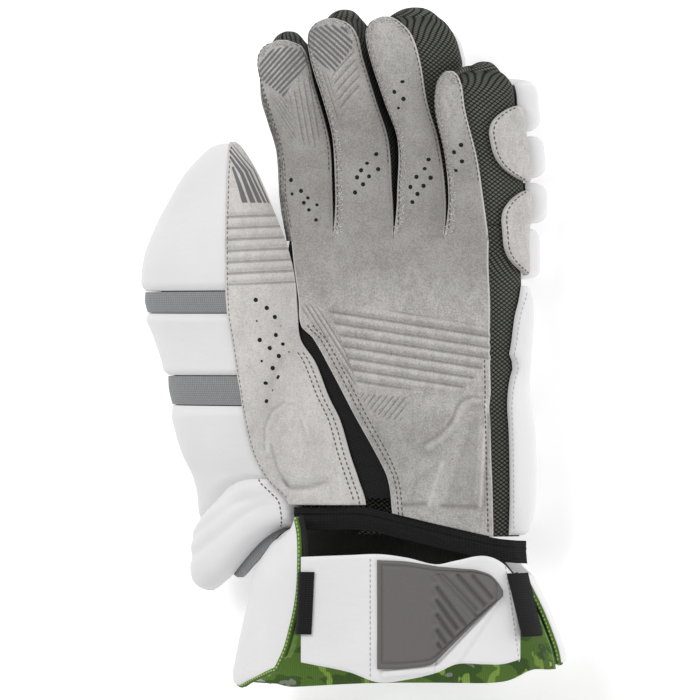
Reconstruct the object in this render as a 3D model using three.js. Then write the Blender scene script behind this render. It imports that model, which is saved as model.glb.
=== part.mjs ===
// A left-hand lacrosse glove, lying on its backhand with the palm up. Millimetres, +Z up.
// The origin is on the flat underside of the large backhand pad. Fingers point to +Y, the thumb to -X.
import * as THREE from 'three';

// Hand and fingers. Lengths of the fingers run from the root line to the end of the suede.
const HAND_WIDTH = 100;
const PALM_LENGTH = 143;
const ROOT_Y = 53;
const PALM_TOP = 48;
const PALM_ARCH = 2;
const WRIST_SLANT = 11;
const FINGER_RISE = 11;
const INDEX_LENGTH = 97;
const MIDDLE_LENGTH = 107;
const RING_LENGTH = 107.5;
const PINKY_LENGTH = 81;
const HOOD = 5;
const HOOD_ROUND = 18;
const HOOD_TIP = 0.35;
const HAND_OVERLAP = 7;
const JOIN_BLEND = 8;
const CROTCH_DROP = 6;

// Thumb, measured from its tip to the wrist
const THUMB_LENGTH = 176;
const THUMB_TIP_Y = 101;
const THUMB_TOP = 68;
const THUMB_SHELL_WIDTH = 58;
const THUMB_BULGE = 4;

// Walls, pads and clearances
const SUEDE = 1.5;
const SHELL = 1.6;
const LINING = 2;
const ELASTIC = 1.6;
const SEAM = 0.4;
const PAD_GAP = 1;
const UNDERLAP = 2;
const ROLL = 11;
const BACK_PAD = 12;
const BACK_PRESS = 4;
const SIDE_PAD = 7;
const PATCH_PAD = 3;
const THUMB_PAD = 8;
const THUMB_TIP_SPACE = 4;
const LINER_GAP = 1.6;
const THUMB_BAND = 4.5;
const CUFF_PAD = 8;
const PAD_EDGE = 1.4;

// Wrist, cuff and strap
const BINDING_WIDTH = 11;
const BINDING_GAP = 1.2;
const BINDING_DROP = 15;
const WRIST_ROLL_Y = -61;
const WRIST_ROLL_SLANT = 22;
const WRIST_ROLL_WIDTH = 23.5;
const WRIST_ROLL_FLARE = 10;
const WRIST_ROLL_RISE = 4;
const WRIST_ROLL_GAP = 3;
const CUFF_LENGTH = 72;
const CUFF_WIDTH = 150;
const CUFF_HEIGHT = 71;
const STRAP_WIDTH = 55;
const STRAP_X = -44;
const STRAP_Y = -127;
const STRAP_SPAN = 105;
const STRAP_PARTS = { seam: 0.37, band: 0.63, tail: 0.634, patch: 0.935 };
const STRAP_THICK = 2.4;
const RUBBER_THICK = 2.2;
const PATCH_LEVEL = STRAP_THICK + SEAM;
const LOOP_THICK = 1.8;
const LOOP_LENGTH = 30;
const LOOP_REACH = 10;
const LOOP_UP = 0.68;

const WRIST_Y = ROOT_Y - PALM_LENGTH;
const CUFF_Y = WRIST_Y - PAD_GAP;

// Colours of the real materials
const LOOKS = {
  suede: { color: 0xb4b2ae, roughness: 0.95 },
  mesh: { color: 0x484a46, roughness: 0.9 },
  leather: { color: 0xe9e9ea, roughness: 0.5 },
  knit: { color: 0x97989a, roughness: 0.9 },
  elastic: { color: 0x18181a, roughness: 0.9 },
  lining: { color: 0x6f9440, roughness: 0.9 },
  rubber: { color: 0x6a6663, roughness: 0.6 },
};

const mix = (a, b, share) => a + (b - a) * share;
const clamp = (value, low, high) => Math.min(high, Math.max(low, value));
const smooth = (value, low, high) => {
  const share = clamp((value - low) / (high - low), 0, 1);
  return share * share * (3 - 2 * share);
};

// A smooth curve through the named columns of a table, read at a value of the first column.
function table(columns, rows) {
  const last = rows.length - 1;
  const slope = (row, place) => {
    const low = rows[Math.max(0, row - 1)];
    const high = rows[Math.min(last, row + 1)];
    return (high[place] - low[place]) / (high[0] - low[0]);
  };
  return (value) => {
    let row = 0;
    while (row < last - 1 && value > rows[row + 1][0]) row += 1;
    const span = rows[row + 1][0] - rows[row][0];
    const s = clamp((value - rows[row][0]) / span, 0, 1);
    const read = {};
    columns.forEach((name, place) => {
      const ends = rows[row][place] * (1 + 2 * s) * (1 - s) ** 2 + rows[row + 1][place] * s * s * (3 - 2 * s);
      const bends = slope(row, place) * s * (1 - s) ** 2 - slope(row + 1, place) * s * s * (1 - s);
      read[name] = ends + span * bends;
    });
    return read;
  };
}

// A closed body from two point lists that share one set of four-sided faces: walls join their open edges.
function closedBody(upper, lower, faces) {
  const count = upper.length;
  const index = [];
  const edges = new Map();
  faces.forEach(([a, b, c, d]) => {
    index.push(a, b, c, a, c, d);
    index.push(count + a, count + c, count + b, count + a, count + d, count + c);
    [[a, b], [b, c], [c, d], [d, a]].forEach(([from, to]) => {
      if (edges.has(`${to} ${from}`)) edges.delete(`${to} ${from}`);
      else edges.set(`${from} ${to}`, [from, to]);
    });
  });
  edges.forEach(([from, to]) => {
    index.push(to, from, count + from, to, count + from, count + to);
  });
  const points = [...upper, ...lower];
  let volume = 0;
  for (let at = 0; at < index.length; at += 3) {
    const [a, b, c] = [points[index[at]], points[index[at + 1]], points[index[at + 2]]];
    volume += a.dot(new THREE.Vector3().crossVectors(b, c));
  }
  const geometry = new THREE.BufferGeometry().setFromPoints(points);
  geometry.setIndex(volume > 0 ? index : index.reverse());
  return geometry;
}

// The four-sided faces of a grid of points, columns counted first.
function gridFaces(columns, rows, first = 0) {
  const faces = [];
  for (let row = 0; row < rows; row += 1) {
    for (let column = 0; column < columns; column += 1) {
      const corner = first + row * (columns + 1) + column;
      faces.push([corner, corner + 1, corner + columns + 2, corner + columns + 1]);
    }
  }
  return faces;
}

// A wall or pad on a surface: place(u, v) gives the surface's own two parameters, low and high the distances
// off it, and fit presses a point flat where a neighbour or the ground stops it.
function layer(surface, { columns, rows, place, low, high, fit = () => {} }) {
  const upper = [];
  const lower = [];
  const step = 0.002;
  for (let row = 0; row <= rows; row += 1) {
    for (let column = 0; column <= columns; column += 1) {
      const [u, v] = [column / columns, row / rows];
      const [t, y] = place(u, v);
      const point = surface(t, y);
      const across = surface(t + step, y).sub(surface(t - step, y));
      const along = surface(t, y + step).sub(surface(t, y - step));
      const normal = along.cross(across).normalize();
      upper.push(point.clone().addScaledVector(normal, high(u, v, t, y)));
      lower.push(point.clone().addScaledVector(normal, low(u, v, t, y)));
      fit(upper[upper.length - 1]);
    }
  }
  return closedBody(upper, lower, gridFaces(columns, rows));
}

// Where the rolls of a finger begin and end, in shares of its length, and where the pads lie round the hand.
const ROLL_JOINTS = [0.1, 0.37, 0.64, 0.945];
const ROLL_GAP = 0.024;
const ROLL_REACH = 0.52;
const PINKY_ROLL_REACH = 0.66;
const KNUCKLE_LENGTH = 25;
const BACK_GROOVE = 3;
const BACK_FOAM = BACK_PAD + BACK_PRESS;
const BACK_PADS = { back_pad_upper: [0, 0.5], back_pad_middle: [0.5, 0.76], back_pad_lower: [0.76, 1] };
const [BACK_LEFT, BACK_RIGHT] = [-0.6, 0.55];
const [SIDE_LEFT, SIDE_RIGHT] = [0.6, 0.94];
const KNUCKLES = { index: [-0.66, -0.24], middle: [-0.22, -0.01], ring: [0.01, 0.22], pinky: [0.24, 0.66] };

const glove = new THREE.Group();

// Pads that the glove rests on are pressed flat at the ground.
const restFlat = (point) => {
  point.z = Math.max(point.z, 0);
};

// Puts a finished piece into the glove under its name.
function add(name, look, geometry) {
  const mesh = new THREE.Mesh(geometry, new THREE.MeshStandardMaterial({ ...LOOKS[look], metalness: 0 }));
  mesh.name = name;
  glove.add(mesh);
}

// The height of a puffed pad over its patch, 1 in the middle and 0 at the edges.
const puff = (u, v) => ((1 - Math.abs(2 * u - 1) ** 4) * (1 - Math.abs(2 * v - 1) ** 4)) ** 0.5;

// Half of an open oval section: t runs from the left rim (-1) down round the bottom to the right rim (1).
function hollowSection(s, t) {
  const turn = clamp(t, -1, 1) * Math.PI / 2;
  const across = Math.sign(t) * Math.abs(Math.sin(turn)) ** (2 / s.square);
  const depth = Math.abs(Math.cos(turn)) ** (2 / s.square);
  const spread = Math.sin(Math.min(1, depth / s.shoulder) * Math.PI / 2);
  const left = mix(s.leftRim, s.left, spread);
  const right = mix(s.rightRim, s.right, spread);
  const rim = mix(s.leftTop, s.rightTop, (across + 1) / 2);
  return [mix(left, right, (across + 1) / 2), mix(rim, s.bottom, depth)];
}

// Palm outline: left and right edges in shares of the hand's width, level in shares of the palm's height.
const palmShape = table(['along', 'left', 'right', 'level'], [
  [0.0, -0.58, 0.42, 0.98],
  [0.08, -0.566, 0.418, 0.985],
  [0.2, -0.54, 0.425, 0.99],
  [0.29, -0.527, 0.425, 0.99],
  [0.33, -0.47, 0.425, 0.99],
  [0.44, -0.379, 0.425, 0.98],
  [0.575, -0.28, 0.427, 0.965],
  [0.737, -0.162, 0.427, 0.93],
  [0.846, -0.1, 0.427, 0.91],
  [1.0, -0.08, 0.426, 0.88],
]);

// A point of the palm: u from the thumb side to the little finger side, along from the roots to the wrist.
function palmPoint(u, along) {
  const s = palmShape(along);
  const y = ROOT_Y - along * PALM_LENGTH + WRIST_SLANT * (1 - u) * along ** 4;
  const arch = PALM_ARCH * (1 - (2 * u - 1) ** 2);
  return new THREE.Vector3(mix(s.left, s.right, u) * HAND_WIDTH, y, PALM_TOP * s.level + arch);
}

// The lines that part one finger's shell from the next, in shares of the hand's width.
const partings = table(['along', 'first', 'second', 'third'], [
  [0.0, -0.365, -0.055, 0.257],
  [0.2, -0.367, -0.055, 0.257],
  [0.45, -0.37, -0.055, 0.26],
  [0.62, -0.405, -0.11, 0.258],
  [0.82, -0.465, -0.17, 0.262],
  [1.05, -0.49, -0.18, 0.27],
]);

// Finger strips: suede edges and shell sides in shares of the hand's width, rise and heel in shares of the
// finger rise, from the root line (0) to the end of the suede (1). A finger holds its length, its share of
// the root line and the parting lines on its two sides.
const FINGER_COLUMNS = ['along', 'left', 'right', 'rise', 'shellLeft', 'shellRight', 'heel'];
const makeFinger = (length, [from, to], [rightOf, leftOf], rows) => {
  return { length, from, to, rightOf, leftOf, shape: table(FINGER_COLUMNS, rows) };
};
const FINGERS = {
  index: makeFinger(INDEX_LENGTH, [0, 0.217], [null, 'first'], [
    [0.0, -0.58, -0.363, 0, -0.66, -0.3, 0],
    [0.2, -0.612, -0.37, 0.05, -0.69, -0.3, 0],
    [0.45, -0.626, -0.374, 0.18, -0.71, -0.3, 0.1],
    [0.6, -0.665, -0.4, 0.35, -0.73, -0.35, 0.25],
    [0.78, -0.715, -0.445, 0.55, -0.745, -0.4, 0.5],
    [0.9, -0.73, -0.468, 0.72, -0.745, -0.44, 0.9],
    [0.97, -0.69, -0.5, 0.85, -0.72, -0.47, 1.4],
    [1.0, -0.62, -0.57, 0.88, -0.69, -0.5, 1.9],
  ]),
  middle: makeFinger(MIDDLE_LENGTH, [0.217, 0.525], ['first', 'second'], [
    [0.0, -0.363, -0.055, 0, -0.5, 0, 0],
    [0.2, -0.355, -0.065, 0.05, -0.5, 0, 0],
    [0.45, -0.362, -0.082, 0.2, -0.5, 0, 0.1],
    [0.62, -0.397, -0.13, 0.5, -0.5, 0, 0.25],
    [0.82, -0.455, -0.19, 0.82, -0.5, -0.1, 0.6],
    [0.93, -0.462, -0.215, 0.95, -0.46, -0.15, 1.2],
    [0.98, -0.42, -0.26, 1.03, -0.43, -0.17, 1.6],
    [1.0, -0.37, -0.32, 1.05, -0.4, -0.2, 2.0],
  ]),
  ring: makeFinger(RING_LENGTH, [0.525, 0.777], ['second', 'third'], [
    [0.0, -0.055, 0.197, 0, -0.1, 0.3, 0],
    [0.2, -0.04, 0.203, 0.05, -0.1, 0.3, 0],
    [0.45, -0.035, 0.17, 0.2, -0.1, 0.3, 0.1],
    [0.62, -0.09, 0.125, 0.5, -0.15, 0.28, 0.25],
    [0.82, -0.155, 0.095, 0.8, -0.2, 0.25, 0.6],
    [0.93, -0.17, 0.055, 0.92, -0.16, 0.21, 1.2],
    [0.98, -0.14, 0.0, 0.98, -0.12, 0.17, 1.6],
    [1.0, -0.09, -0.04, 1.0, -0.09, 0.14, 2.0],
  ]),
  pinky: makeFinger(PINKY_LENGTH, [0.777, 1], ['third', null], [
    [0.0, 0.197, 0.42, 0, 0.2, 0.54, 0],
    [0.25, 0.217, 0.39, 0.0, 0.2, 0.54, 0],
    [0.5, 0.2, 0.36, 0.1, 0.2, 0.53, 0],
    [0.78, 0.16, 0.31, 0.35, 0.2, 0.51, 0.4],
    [0.92, 0.17, 0.298, 0.48, 0.24, 0.49, 0.9],
    [0.98, 0.2, 0.28, 0.55, 0.27, 0.47, 1.5],
    [1.0, 0.225, 0.26, 0.58, 0.28, 0.44, 2.0],
  ]),
};

// A point of a finger's suede: u across the strip, along from the root line to the tip.
function stripPoint(finger, u, along) {
  const s = finger.shape(along);
  const root = palmPoint(mix(finger.from, finger.to, u), 0);
  const crown = PALM_ARCH * (1 - (2 * u - 1) ** 2);
  const z = PALM_TOP * palmShape(0).level + s.rise * FINGER_RISE + crown;
  const x = mix(s.left, s.right, u) * HAND_WIDTH;
  return new THREE.Vector3(x, ROOT_Y + along * finger.length, mix(root.z, z, smooth(along, 0, 0.2)));
}

// The suede palm and its four finger strips, one sheet that splits at the finger roots.
function palmPanel() {
  const columnsPerFinger = 4;
  const columns = 4 * columnsPerFinger;
  const palmRows = [0, 0.1, 0.2, 0.29, 0.33, 0.4, 0.5, 0.62, 0.75, 0.88, 1];
  const stripRows = [0.1, 0.25, 0.45, 0.6, 0.72, 0.84, 0.92, 0.97, 1];
  const fingers = Object.values(FINGERS);
  const across = (column) => {
    const finger = fingers[Math.min(3, Math.floor(column / columnsPerFinger))];
    const inside = column / columnsPerFinger - fingers.indexOf(finger);
    return mix(finger.from, finger.to, inside);
  };
  const upper = [];
  palmRows.forEach((along) => {
    for (let column = 0; column <= columns; column += 1) upper.push(palmPoint(across(column), along));
  });
  const faces = gridFaces(columns, palmRows.length - 1);
  fingers.forEach((finger, order) => {
    const start = order * columnsPerFinger;
    let below = Array.from({ length: columnsPerFinger + 1 }, (_, column) => start + column);
    stripRows.forEach((along) => {
      const here = below.map((_, column) => {
        upper.push(stripPoint(finger, column / columnsPerFinger, along));
        return upper.length - 1;
      });
      for (let column = 0; column < columnsPerFinger; column += 1) {
        faces.push([here[column], here[column + 1], below[column + 1], below[column]]);
      }
      below = here;
    });
  });
  const lower = upper.map((point) => point.clone().add(new THREE.Vector3(0, 0, -SUEDE)));
  return closedBody(upper, lower, faces);
}

// How far a finger's shell may reach to each side before it meets its neighbours.
function fingerWalls(finger, y) {
  const lines = partings((y - ROOT_Y) / MIDDLE_LENGTH);
  return [
    finger.rightOf ? lines[finger.rightOf] * HAND_WIDTH + SEAM : -Infinity,
    finger.leftOf ? lines[finger.leftOf] * HAND_WIDTH - SEAM : Infinity,
  ];
}

// The outside of a finger's mesh shell, whose rims lie just under the suede's edges.
function fingerSurface(finger) {
  return (t, y) => {
    const along = (y - ROOT_Y) / finger.length;
    const s = finger.shape(along);
    const [wallLeft, wallRight] = fingerWalls(finger, y);
    const top = PALM_TOP * palmShape(0).level + s.rise * FINGER_RISE - SUEDE - SEAM;
    const tuck = Math.min(UNDERLAP, (s.right - s.left) * HAND_WIDTH / 2 - SEAM);
    const end = (1 - along) * finger.length + HOOD;
    const close = Math.sqrt(1 - (1 - clamp(end / HOOD_ROUND, 0, 1)) ** 2);
    const leftRim = Math.max(s.left * HAND_WIDTH + tuck, wallLeft);
    const rightRim = Math.min(s.right * HAND_WIDTH - tuck, wallRight);
    const left = Math.max(Math.min(s.shellLeft * HAND_WIDTH, leftRim), wallLeft);
    const right = Math.min(Math.max(s.shellRight * HAND_WIDTH, rightRim), wallRight);
    const middle = (left + right) / 2;
    const narrow = mix(HOOD_TIP, 1, Math.sqrt(close));
    const beyond = smooth(along, 0.98, 1 + HOOD / finger.length);
    const section = {
      leftRim: mix(leftRim, middle - SEAM, beyond),
      rightRim: mix(rightRim, middle + SEAM, beyond),
      leftTop: top,
      rightTop: top,
      left: mix(middle, left, narrow),
      right: mix(middle, right, narrow),
      bottom: mix(top - 2 * SHELL, BACK_PAD + s.heel * FINGER_RISE, close),
      shoulder: 0.6,
      square: 3,
    };
    const [x, z] = hollowSection(section, t);
    return new THREE.Vector3(x, y, z);
  };
}

// A finger's mesh shell with the hood over its tip.
function fingerShell(finger) {
  const start = ROOT_Y + HAND_OVERLAP + SEAM;
  const end = ROOT_Y + finger.length + HOOD;
  return layer(fingerSurface(finger), {
    columns: 10,
    rows: 10,
    place: (u, v) => [mix(-1, 1, u), mix(start, end, 1 - (1 - v) ** 1.4)],
    low: () => -SHELL,
    high: () => 0,
  });
}

// A white padded roll across the back of a finger, between two shares of the finger's length.
function fingerRoll(finger, from, to, reach) {
  return layer(fingerSurface(finger), {
    columns: 6,
    rows: 4,
    place: (u, v) => [mix(-ROLL_REACH, reach, u), ROOT_Y + mix(from, to, v) * finger.length],
    low: () => PAD_GAP,
    high: (u, v) => PAD_GAP + PAD_EDGE + (ROLL - PAD_EDGE) * puff(u, v),
    fit: (point) => {
      const [left, right] = fingerWalls(finger, point.y);
      point.x = clamp(point.x, left, right);
    },
  });
}

// The outside of the hand's mesh body, from the finger roots to the wrist.
const handShape = table(['along', 'left', 'right', 'rightTop'], [
  [-0.05, -0.66, 0.545, 0.93],
  [0.0, -0.665, 0.55, 0.93],
  [0.2, -0.73, 0.56, 0.93],
  [0.35, -0.75, 0.545, 0.92],
  [0.5, -0.75, 0.53, 0.9],
  [0.66, -0.74, 0.56, 0.88],
  [0.86, -0.72, 0.56, 0.84],
  [1.0, -0.7, 0.54, 0.8],
]);
function handSurface(t, y) {
  const along = (ROOT_Y - y) / PALM_LENGTH;
  const s = handShape(along);
  const palm = palmShape(clamp(along, 0, 1));
  const section = {
    leftRim: Math.min(palm.left, -0.5) * HAND_WIDTH + UNDERLAP,
    rightRim: palm.right * HAND_WIDTH - UNDERLAP,
    leftTop: PALM_TOP * palm.level - SUEDE - SEAM,
    rightTop: Math.min(PALM_TOP * palm.level - SUEDE - SEAM, PALM_TOP * s.rightTop),
    left: s.left * HAND_WIDTH,
    right: s.right * HAND_WIDTH,
    bottom: BACK_PAD,
    shoulder: 0.6,
    square: 3,
  };
  const [x, z] = hollowSection(section, t);
  return new THREE.Vector3(x, y, z);
}

// The hand's body is open toward the thumb below the crotch.
function handLiner() {
  const left = (y) => mix(-0.72, -1, smooth(y, CROTCH_Y - CROTCH_LENGTH, CROTCH_Y));
  return layer(handSurface, {
    columns: 12,
    rows: 10,
    place: (u, v) => {
      const y = mix(ROOT_Y + HAND_OVERLAP, WRIST_Y, v);
      return [mix(left(y), 1, u), y];
    },
    low: () => -SHELL,
    high: () => 0,
  });
}

// A padded piece on the hand's body.
function handPad(left, right, from, to, thick, edge = PAD_EDGE) {
  return layer(handSurface, {
    columns: 7,
    rows: 5,
    place: (u, v) => [mix(left, right, u), mix(from, to, v)],
    low: () => PAD_GAP,
    high: (u, v) => PAD_GAP + edge + (thick - PAD_GAP - edge) * Math.min(1, 1.4 * puff(u, v)),
    fit: restFlat,
  });
}

// Thumb sections from the tip (0) to the wrist (1): ridge and right edge in shares of the hand's width, reach
// in shares of the shell's width, heights in shares of the thumb's top and of the palm's top.
const thumbShape = table(['along', 'ridge', 'right', 'ridgeTop', 'rightTop', 'reach', 'wall', 'bottom'], [
  [0.0, -0.862, -0.83, 0.86, 1.2, 0.02, -0.85, 0.8],
  [0.012, -0.86, -0.808, 0.88, 1.18, 0.2, -0.84, 0.66],
  [0.045, -0.858, -0.77, 0.92, 1.15, 0.37, -0.825, 0.5],
  [0.09, -0.858, -0.73, 0.95, 1.1, 0.53, -0.8, 0.38],
  [0.15, -0.857, -0.69, 0.97, 1.05, 0.68, -0.775, 0.28],
  [0.22, -0.855, -0.64, 0.99, 1.03, 0.83, -0.75, 0.2],
  [0.3, -0.855, -0.59, 1.0, 1.01, 0.95, -0.735, 0.14],
  [0.38, -0.855, -0.558, 1.0, 1.0, 1.0, -0.725, 0.1],
  [0.47, -0.845, -0.545, 1.0, 1.0, 1.0, -0.715, 0.08],
  [0.545, -0.824, -0.53, 0.99, 1.0, 0.94, -0.71, 0.07],
  [0.607, -0.808, -0.456, 0.985, 1.0, 0.9, -0.71, 0.07],
  [0.7, -0.782, -0.39, 0.97, 0.99, 0.9, -0.71, 0.07],
  [0.767, -0.768, -0.332, 0.955, 0.98, 0.88, -0.71, 0.07],
  [0.864, -0.735, -0.284, 0.9, 0.95, 0.85, -0.71, 0.07],
  [0.93, -0.68, -0.246, 0.84, 0.93, 0.86, -0.7, 0.07],
  [1.0, -0.58, -0.21, 0.78, 0.92, 1.0, -0.69, 0.07],
]);
function thumbEdges(y) {
  const s = thumbShape((THUMB_TIP_Y - y) / THUMB_LENGTH);
  const palm = palmShape(clamp((ROOT_Y - y) / PALM_LENGTH, 0, 1));
  const side = y > ROOT_Y ? Infinity : palm.left * HAND_WIDTH - SEAM;
  return { s, ridge: s.ridge * HAND_WIDTH, right: Math.min(s.right * HAND_WIDTH, side) };
}
function thumbSurface(t, y) {
  const { s, ridge, right } = thumbEdges(y);
  const section = {
    leftRim: ridge,
    rightRim: right - UNDERLAP,
    leftTop: s.ridgeTop * THUMB_TOP - SUEDE,
    rightTop: s.rightTop * PALM_TOP - SUEDE - SEAM,
    left: ridge - s.reach * THUMB_SHELL_WIDTH,
    right: s.wall * HAND_WIDTH,
    bottom: s.bottom * THUMB_TOP,
    shoulder: 0.6,
    square: 2.6,
  };
  const [x, z] = hollowSection(section, t);
  return new THREE.Vector3(x, y, z);
}

// The suede of the thumb and its base, from the ridge seam down to the palm.
function thumbPanel() {
  const [columns, rows] = [6, 16];
  const upper = [];
  for (let row = 0; row <= rows; row += 1) {
    const y = THUMB_TIP_Y - (row / rows) ** 1.25 * THUMB_LENGTH;
    const { s, ridge, right } = thumbEdges(y);
    for (let column = 0; column <= columns; column += 1) {
      const u = column / columns;
      const bulge = THUMB_BULGE * Math.sin(Math.PI * u) * smooth(row, 0, 4);
      const z = mix(s.ridgeTop * THUMB_TOP, s.rightTop * PALM_TOP, u) + bulge;
      upper.push(new THREE.Vector3(mix(ridge + SEAM, right, u), y, z));
    }
  }
  const lower = upper.map((point) => point.clone().add(new THREE.Vector3(0, 0, -SUEDE)));
  return closedBody(upper, lower, gridFaces(columns, rows));
}

// How far the thumb's shell and the wrist roll reach round it, where the thumb opens into the hand, and where
// the shell's pieces end, in shares of the thumb's length.
const THUMB_WRAP = 0.62;
const ROLL_WRAP = -0.2;
const CROTCH_Y = ROOT_Y - CROTCH_DROP;
const CROTCH_LENGTH = 20;
const THUMB_JOINTS = { tip: 0.004, cap: 0.41, upper: 0.472, middle: 0.645, lower: 0.727 };
const THUMB_GAP = 0.003;
const BAND_SINK = 2;

// The dark inside of the thumb; it opens into the hand below the crotch.
function thumbLiner() {
  const depth = (t) => -(THUMB_PAD + LINER_GAP) * (1 - smooth(t, THUMB_WRAP, 0.95));
  const right = (y) => mix(THUMB_WRAP, 1, smooth(y, CROTCH_Y - CROTCH_LENGTH, CROTCH_Y));
  return layer(thumbSurface, {
    columns: 12,
    rows: 10,
    place: (u, v) => {
      const y = mix(THUMB_TIP_Y - THUMB_PAD - THUMB_TIP_SPACE, THUMB_TIP_Y - THUMB_LENGTH, v);
      return [mix(-0.97, right(y), u), y];
    },
    low: (u, v, t) => depth(t) - SHELL,
    high: (u, v, t) => depth(t),
  });
}

// A white or knit piece of the thumb's shell between two shares of the thumb's length.
function thumbPiece(from, to, thick, sink, rows = 4) {
  return layer(thumbSurface, {
    columns: 10,
    rows,
    place: (u, v) => [mix(-1, THUMB_WRAP, u), THUMB_TIP_Y - mix(from, to, v) * THUMB_LENGTH],
    low: () => -sink - thick,
    high: (u, v) => -sink - (thick - PAD_EDGE) * 0.4 * (1 - puff(mix(0.12, 0.5, u), v)),
  });
}

// The slanted upper edge of the wrist roll, which the lowest thumb segment ends at.
const rollTop = (t) => WRIST_ROLL_Y - WRIST_ROLL_SLANT * smooth(t, -1, -0.45);

// The lowest white segment of the thumb, cut off along the wrist roll.
function thumbSegmentLower() {
  const start = THUMB_TIP_Y - (THUMB_JOINTS.lower + THUMB_GAP) * THUMB_LENGTH;
  return layer(thumbSurface, {
    columns: 10,
    rows: 4,
    place: (u, v) => {
      const t = mix(-1, THUMB_WRAP, u);
      return [t, mix(start, rollTop(t) + WRIST_ROLL_GAP, v)];
    },
    low: () => -THUMB_PAD,
    high: (u, v) => -(THUMB_PAD - PAD_EDGE) * 0.4 * (1 - puff(mix(0.12, 0.5, u), v)),
  });
}

// The padded roll that wraps the thumb's base.
function wristRoll() {
  return layer(thumbSurface, {
    columns: 8,
    rows: 6,
    place: (u, v) => {
      const t = mix(-1, ROLL_WRAP, u);
      const width = WRIST_ROLL_WIDTH + WRIST_ROLL_FLARE * smooth(t, -1, -0.55);
      return [t, rollTop(t) - WRIST_ROLL_GAP / 2 - v * width];
    },
    low: () => -THUMB_PAD,
    high: (u, v) => mix(PAD_EDGE - THUMB_PAD, WRIST_ROLL_RISE, puff(u, v)),
  });
}

// The black elastic strip between the thumb and the palm, tucked under both.
function gussetStrip() {
  const [columns, rows] = [3, 10];
  const upper = [];
  for (let row = 0; row <= rows; row += 1) {
    const along = mix(0.27, 0.93, row / rows);
    const palm = palmPoint(0, along);
    const thumb = thumbEdges(palm.y);
    for (let column = 0; column <= columns; column += 1) {
      const u = column / columns;
      const x = mix(thumb.right - UNDERLAP, palm.x + UNDERLAP, u);
      const z = mix(thumb.s.rightTop * PALM_TOP, palm.z, u) - SUEDE - SEAM;
      upper.push(new THREE.Vector3(x, palm.y, z));
    }
  }
  const lower = upper.map((point) => point.clone().add(new THREE.Vector3(0, 0, -ELASTIC)));
  return closedBody(upper, lower, gridFaces(columns, rows));
}

// A stitched half round of suede on the little finger's side, between two shares of that finger's length.
function sidePatch(from, to) {
  const pinkySurface = fingerSurface(FINGERS.pinky);
  const join = ROOT_Y + HAND_OVERLAP;
  const surface = (t, y) => {
    const share = smooth(y, join - JOIN_BLEND, join + JOIN_BLEND);
    return handSurface(t, y).lerp(pinkySurface(t, Math.max(y, ROOT_Y)), share);
  };
  return layer(surface, {
    columns: 4,
    rows: 8,
    place: (u, v) => {
      const round = (1 - Math.abs(2 * v - 1) ** 3) ** 0.5;
      return [mix(0.7, 0.74 + 0.22 * round, u), ROOT_Y + mix(from, to, v) * PINKY_LENGTH];
    },
    low: () => 1.8 * PAD_GAP,
    high: (u, v) => 1.8 * PAD_GAP + PAD_EDGE + (PATCH_PAD - PAD_EDGE) * puff(u, v),
  });
}

// The band along the wrist edge of the palm: across and height in shares of the hand's width and palm height.
const bindingShape = table(['place', 'across', 'drop', 'height'], [
  [0.0, -0.55, 0, 1.08],
  [0.15, -0.44, 0, 1.06],
  [0.35, -0.22, 0, 0.93],
  [0.47, -0.09, 0.2, 0.87],
  [0.65, 0.165, 0.58, 0.885],
  [0.85, 0.43, 0.98, 0.87],
  [0.94, 0.51, 1.15, 0.76],
  [1.0, 0.55, 1.25, 0.6],
]);
function wristBinding() {
  const [columns, rows] = [16, 2];
  const upper = [];
  const edge = THUMB_TIP_Y - THUMB_LENGTH - BINDING_GAP;
  for (let row = 0; row <= rows; row += 1) {
    for (let column = 0; column <= columns; column += 1) {
      const s = bindingShape(column / columns);
      const drop = BINDING_DROP * s.drop + BINDING_WIDTH * row / rows;
      upper.push(new THREE.Vector3(s.across * HAND_WIDTH, edge - drop, s.height * PALM_TOP - row));
    }
  }
  const lower = upper.map((point) => point.clone().add(new THREE.Vector3(0, 0, -ELASTIC)));
  return closedBody(upper, lower, gridFaces(columns, rows));
}

// Cuff sections from the wrist (0) to the mouth (1), in shares of the cuff's width and height.
const cuffShape = table(['along', 'leftRim', 'leftTop', 'rightRim', 'rightTop', 'left', 'right'], [
  [-0.14, -0.333, 0.96, 0.33, 0.55, -0.43, 0.34],
  [0.0, -0.31, 1.0, 0.335, 0.6, -0.48, 0.35],
  [0.24, -0.303, 1.0, 0.39, 0.62, -0.57, 0.4],
  [0.43, -0.31, 1.0, 0.44, 0.63, -0.595, 0.45],
  [0.6, -0.327, 1.0, 0.475, 0.62, -0.615, 0.485],
  [0.77, -0.354, 0.99, 0.5, 0.6, -0.635, 0.515],
  [1.0, -0.42, 0.95, 0.51, 0.58, -0.66, 0.53],
]);
function cuffSurface(t, y) {
  const s = cuffShape((WRIST_Y - y) / CUFF_LENGTH);
  const section = {
    leftRim: s.leftRim * CUFF_WIDTH,
    rightRim: s.rightRim * CUFF_WIDTH,
    leftTop: s.leftTop * CUFF_HEIGHT,
    rightTop: s.rightTop * CUFF_HEIGHT,
    left: s.left * CUFF_WIDTH,
    right: s.right * CUFF_WIDTH,
    bottom: 0,
    shoulder: 0.6,
    square: 2.8,
  };
  const [x, z] = hollowSection(section, t);
  return new THREE.Vector3(x, y, z);
}

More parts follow.
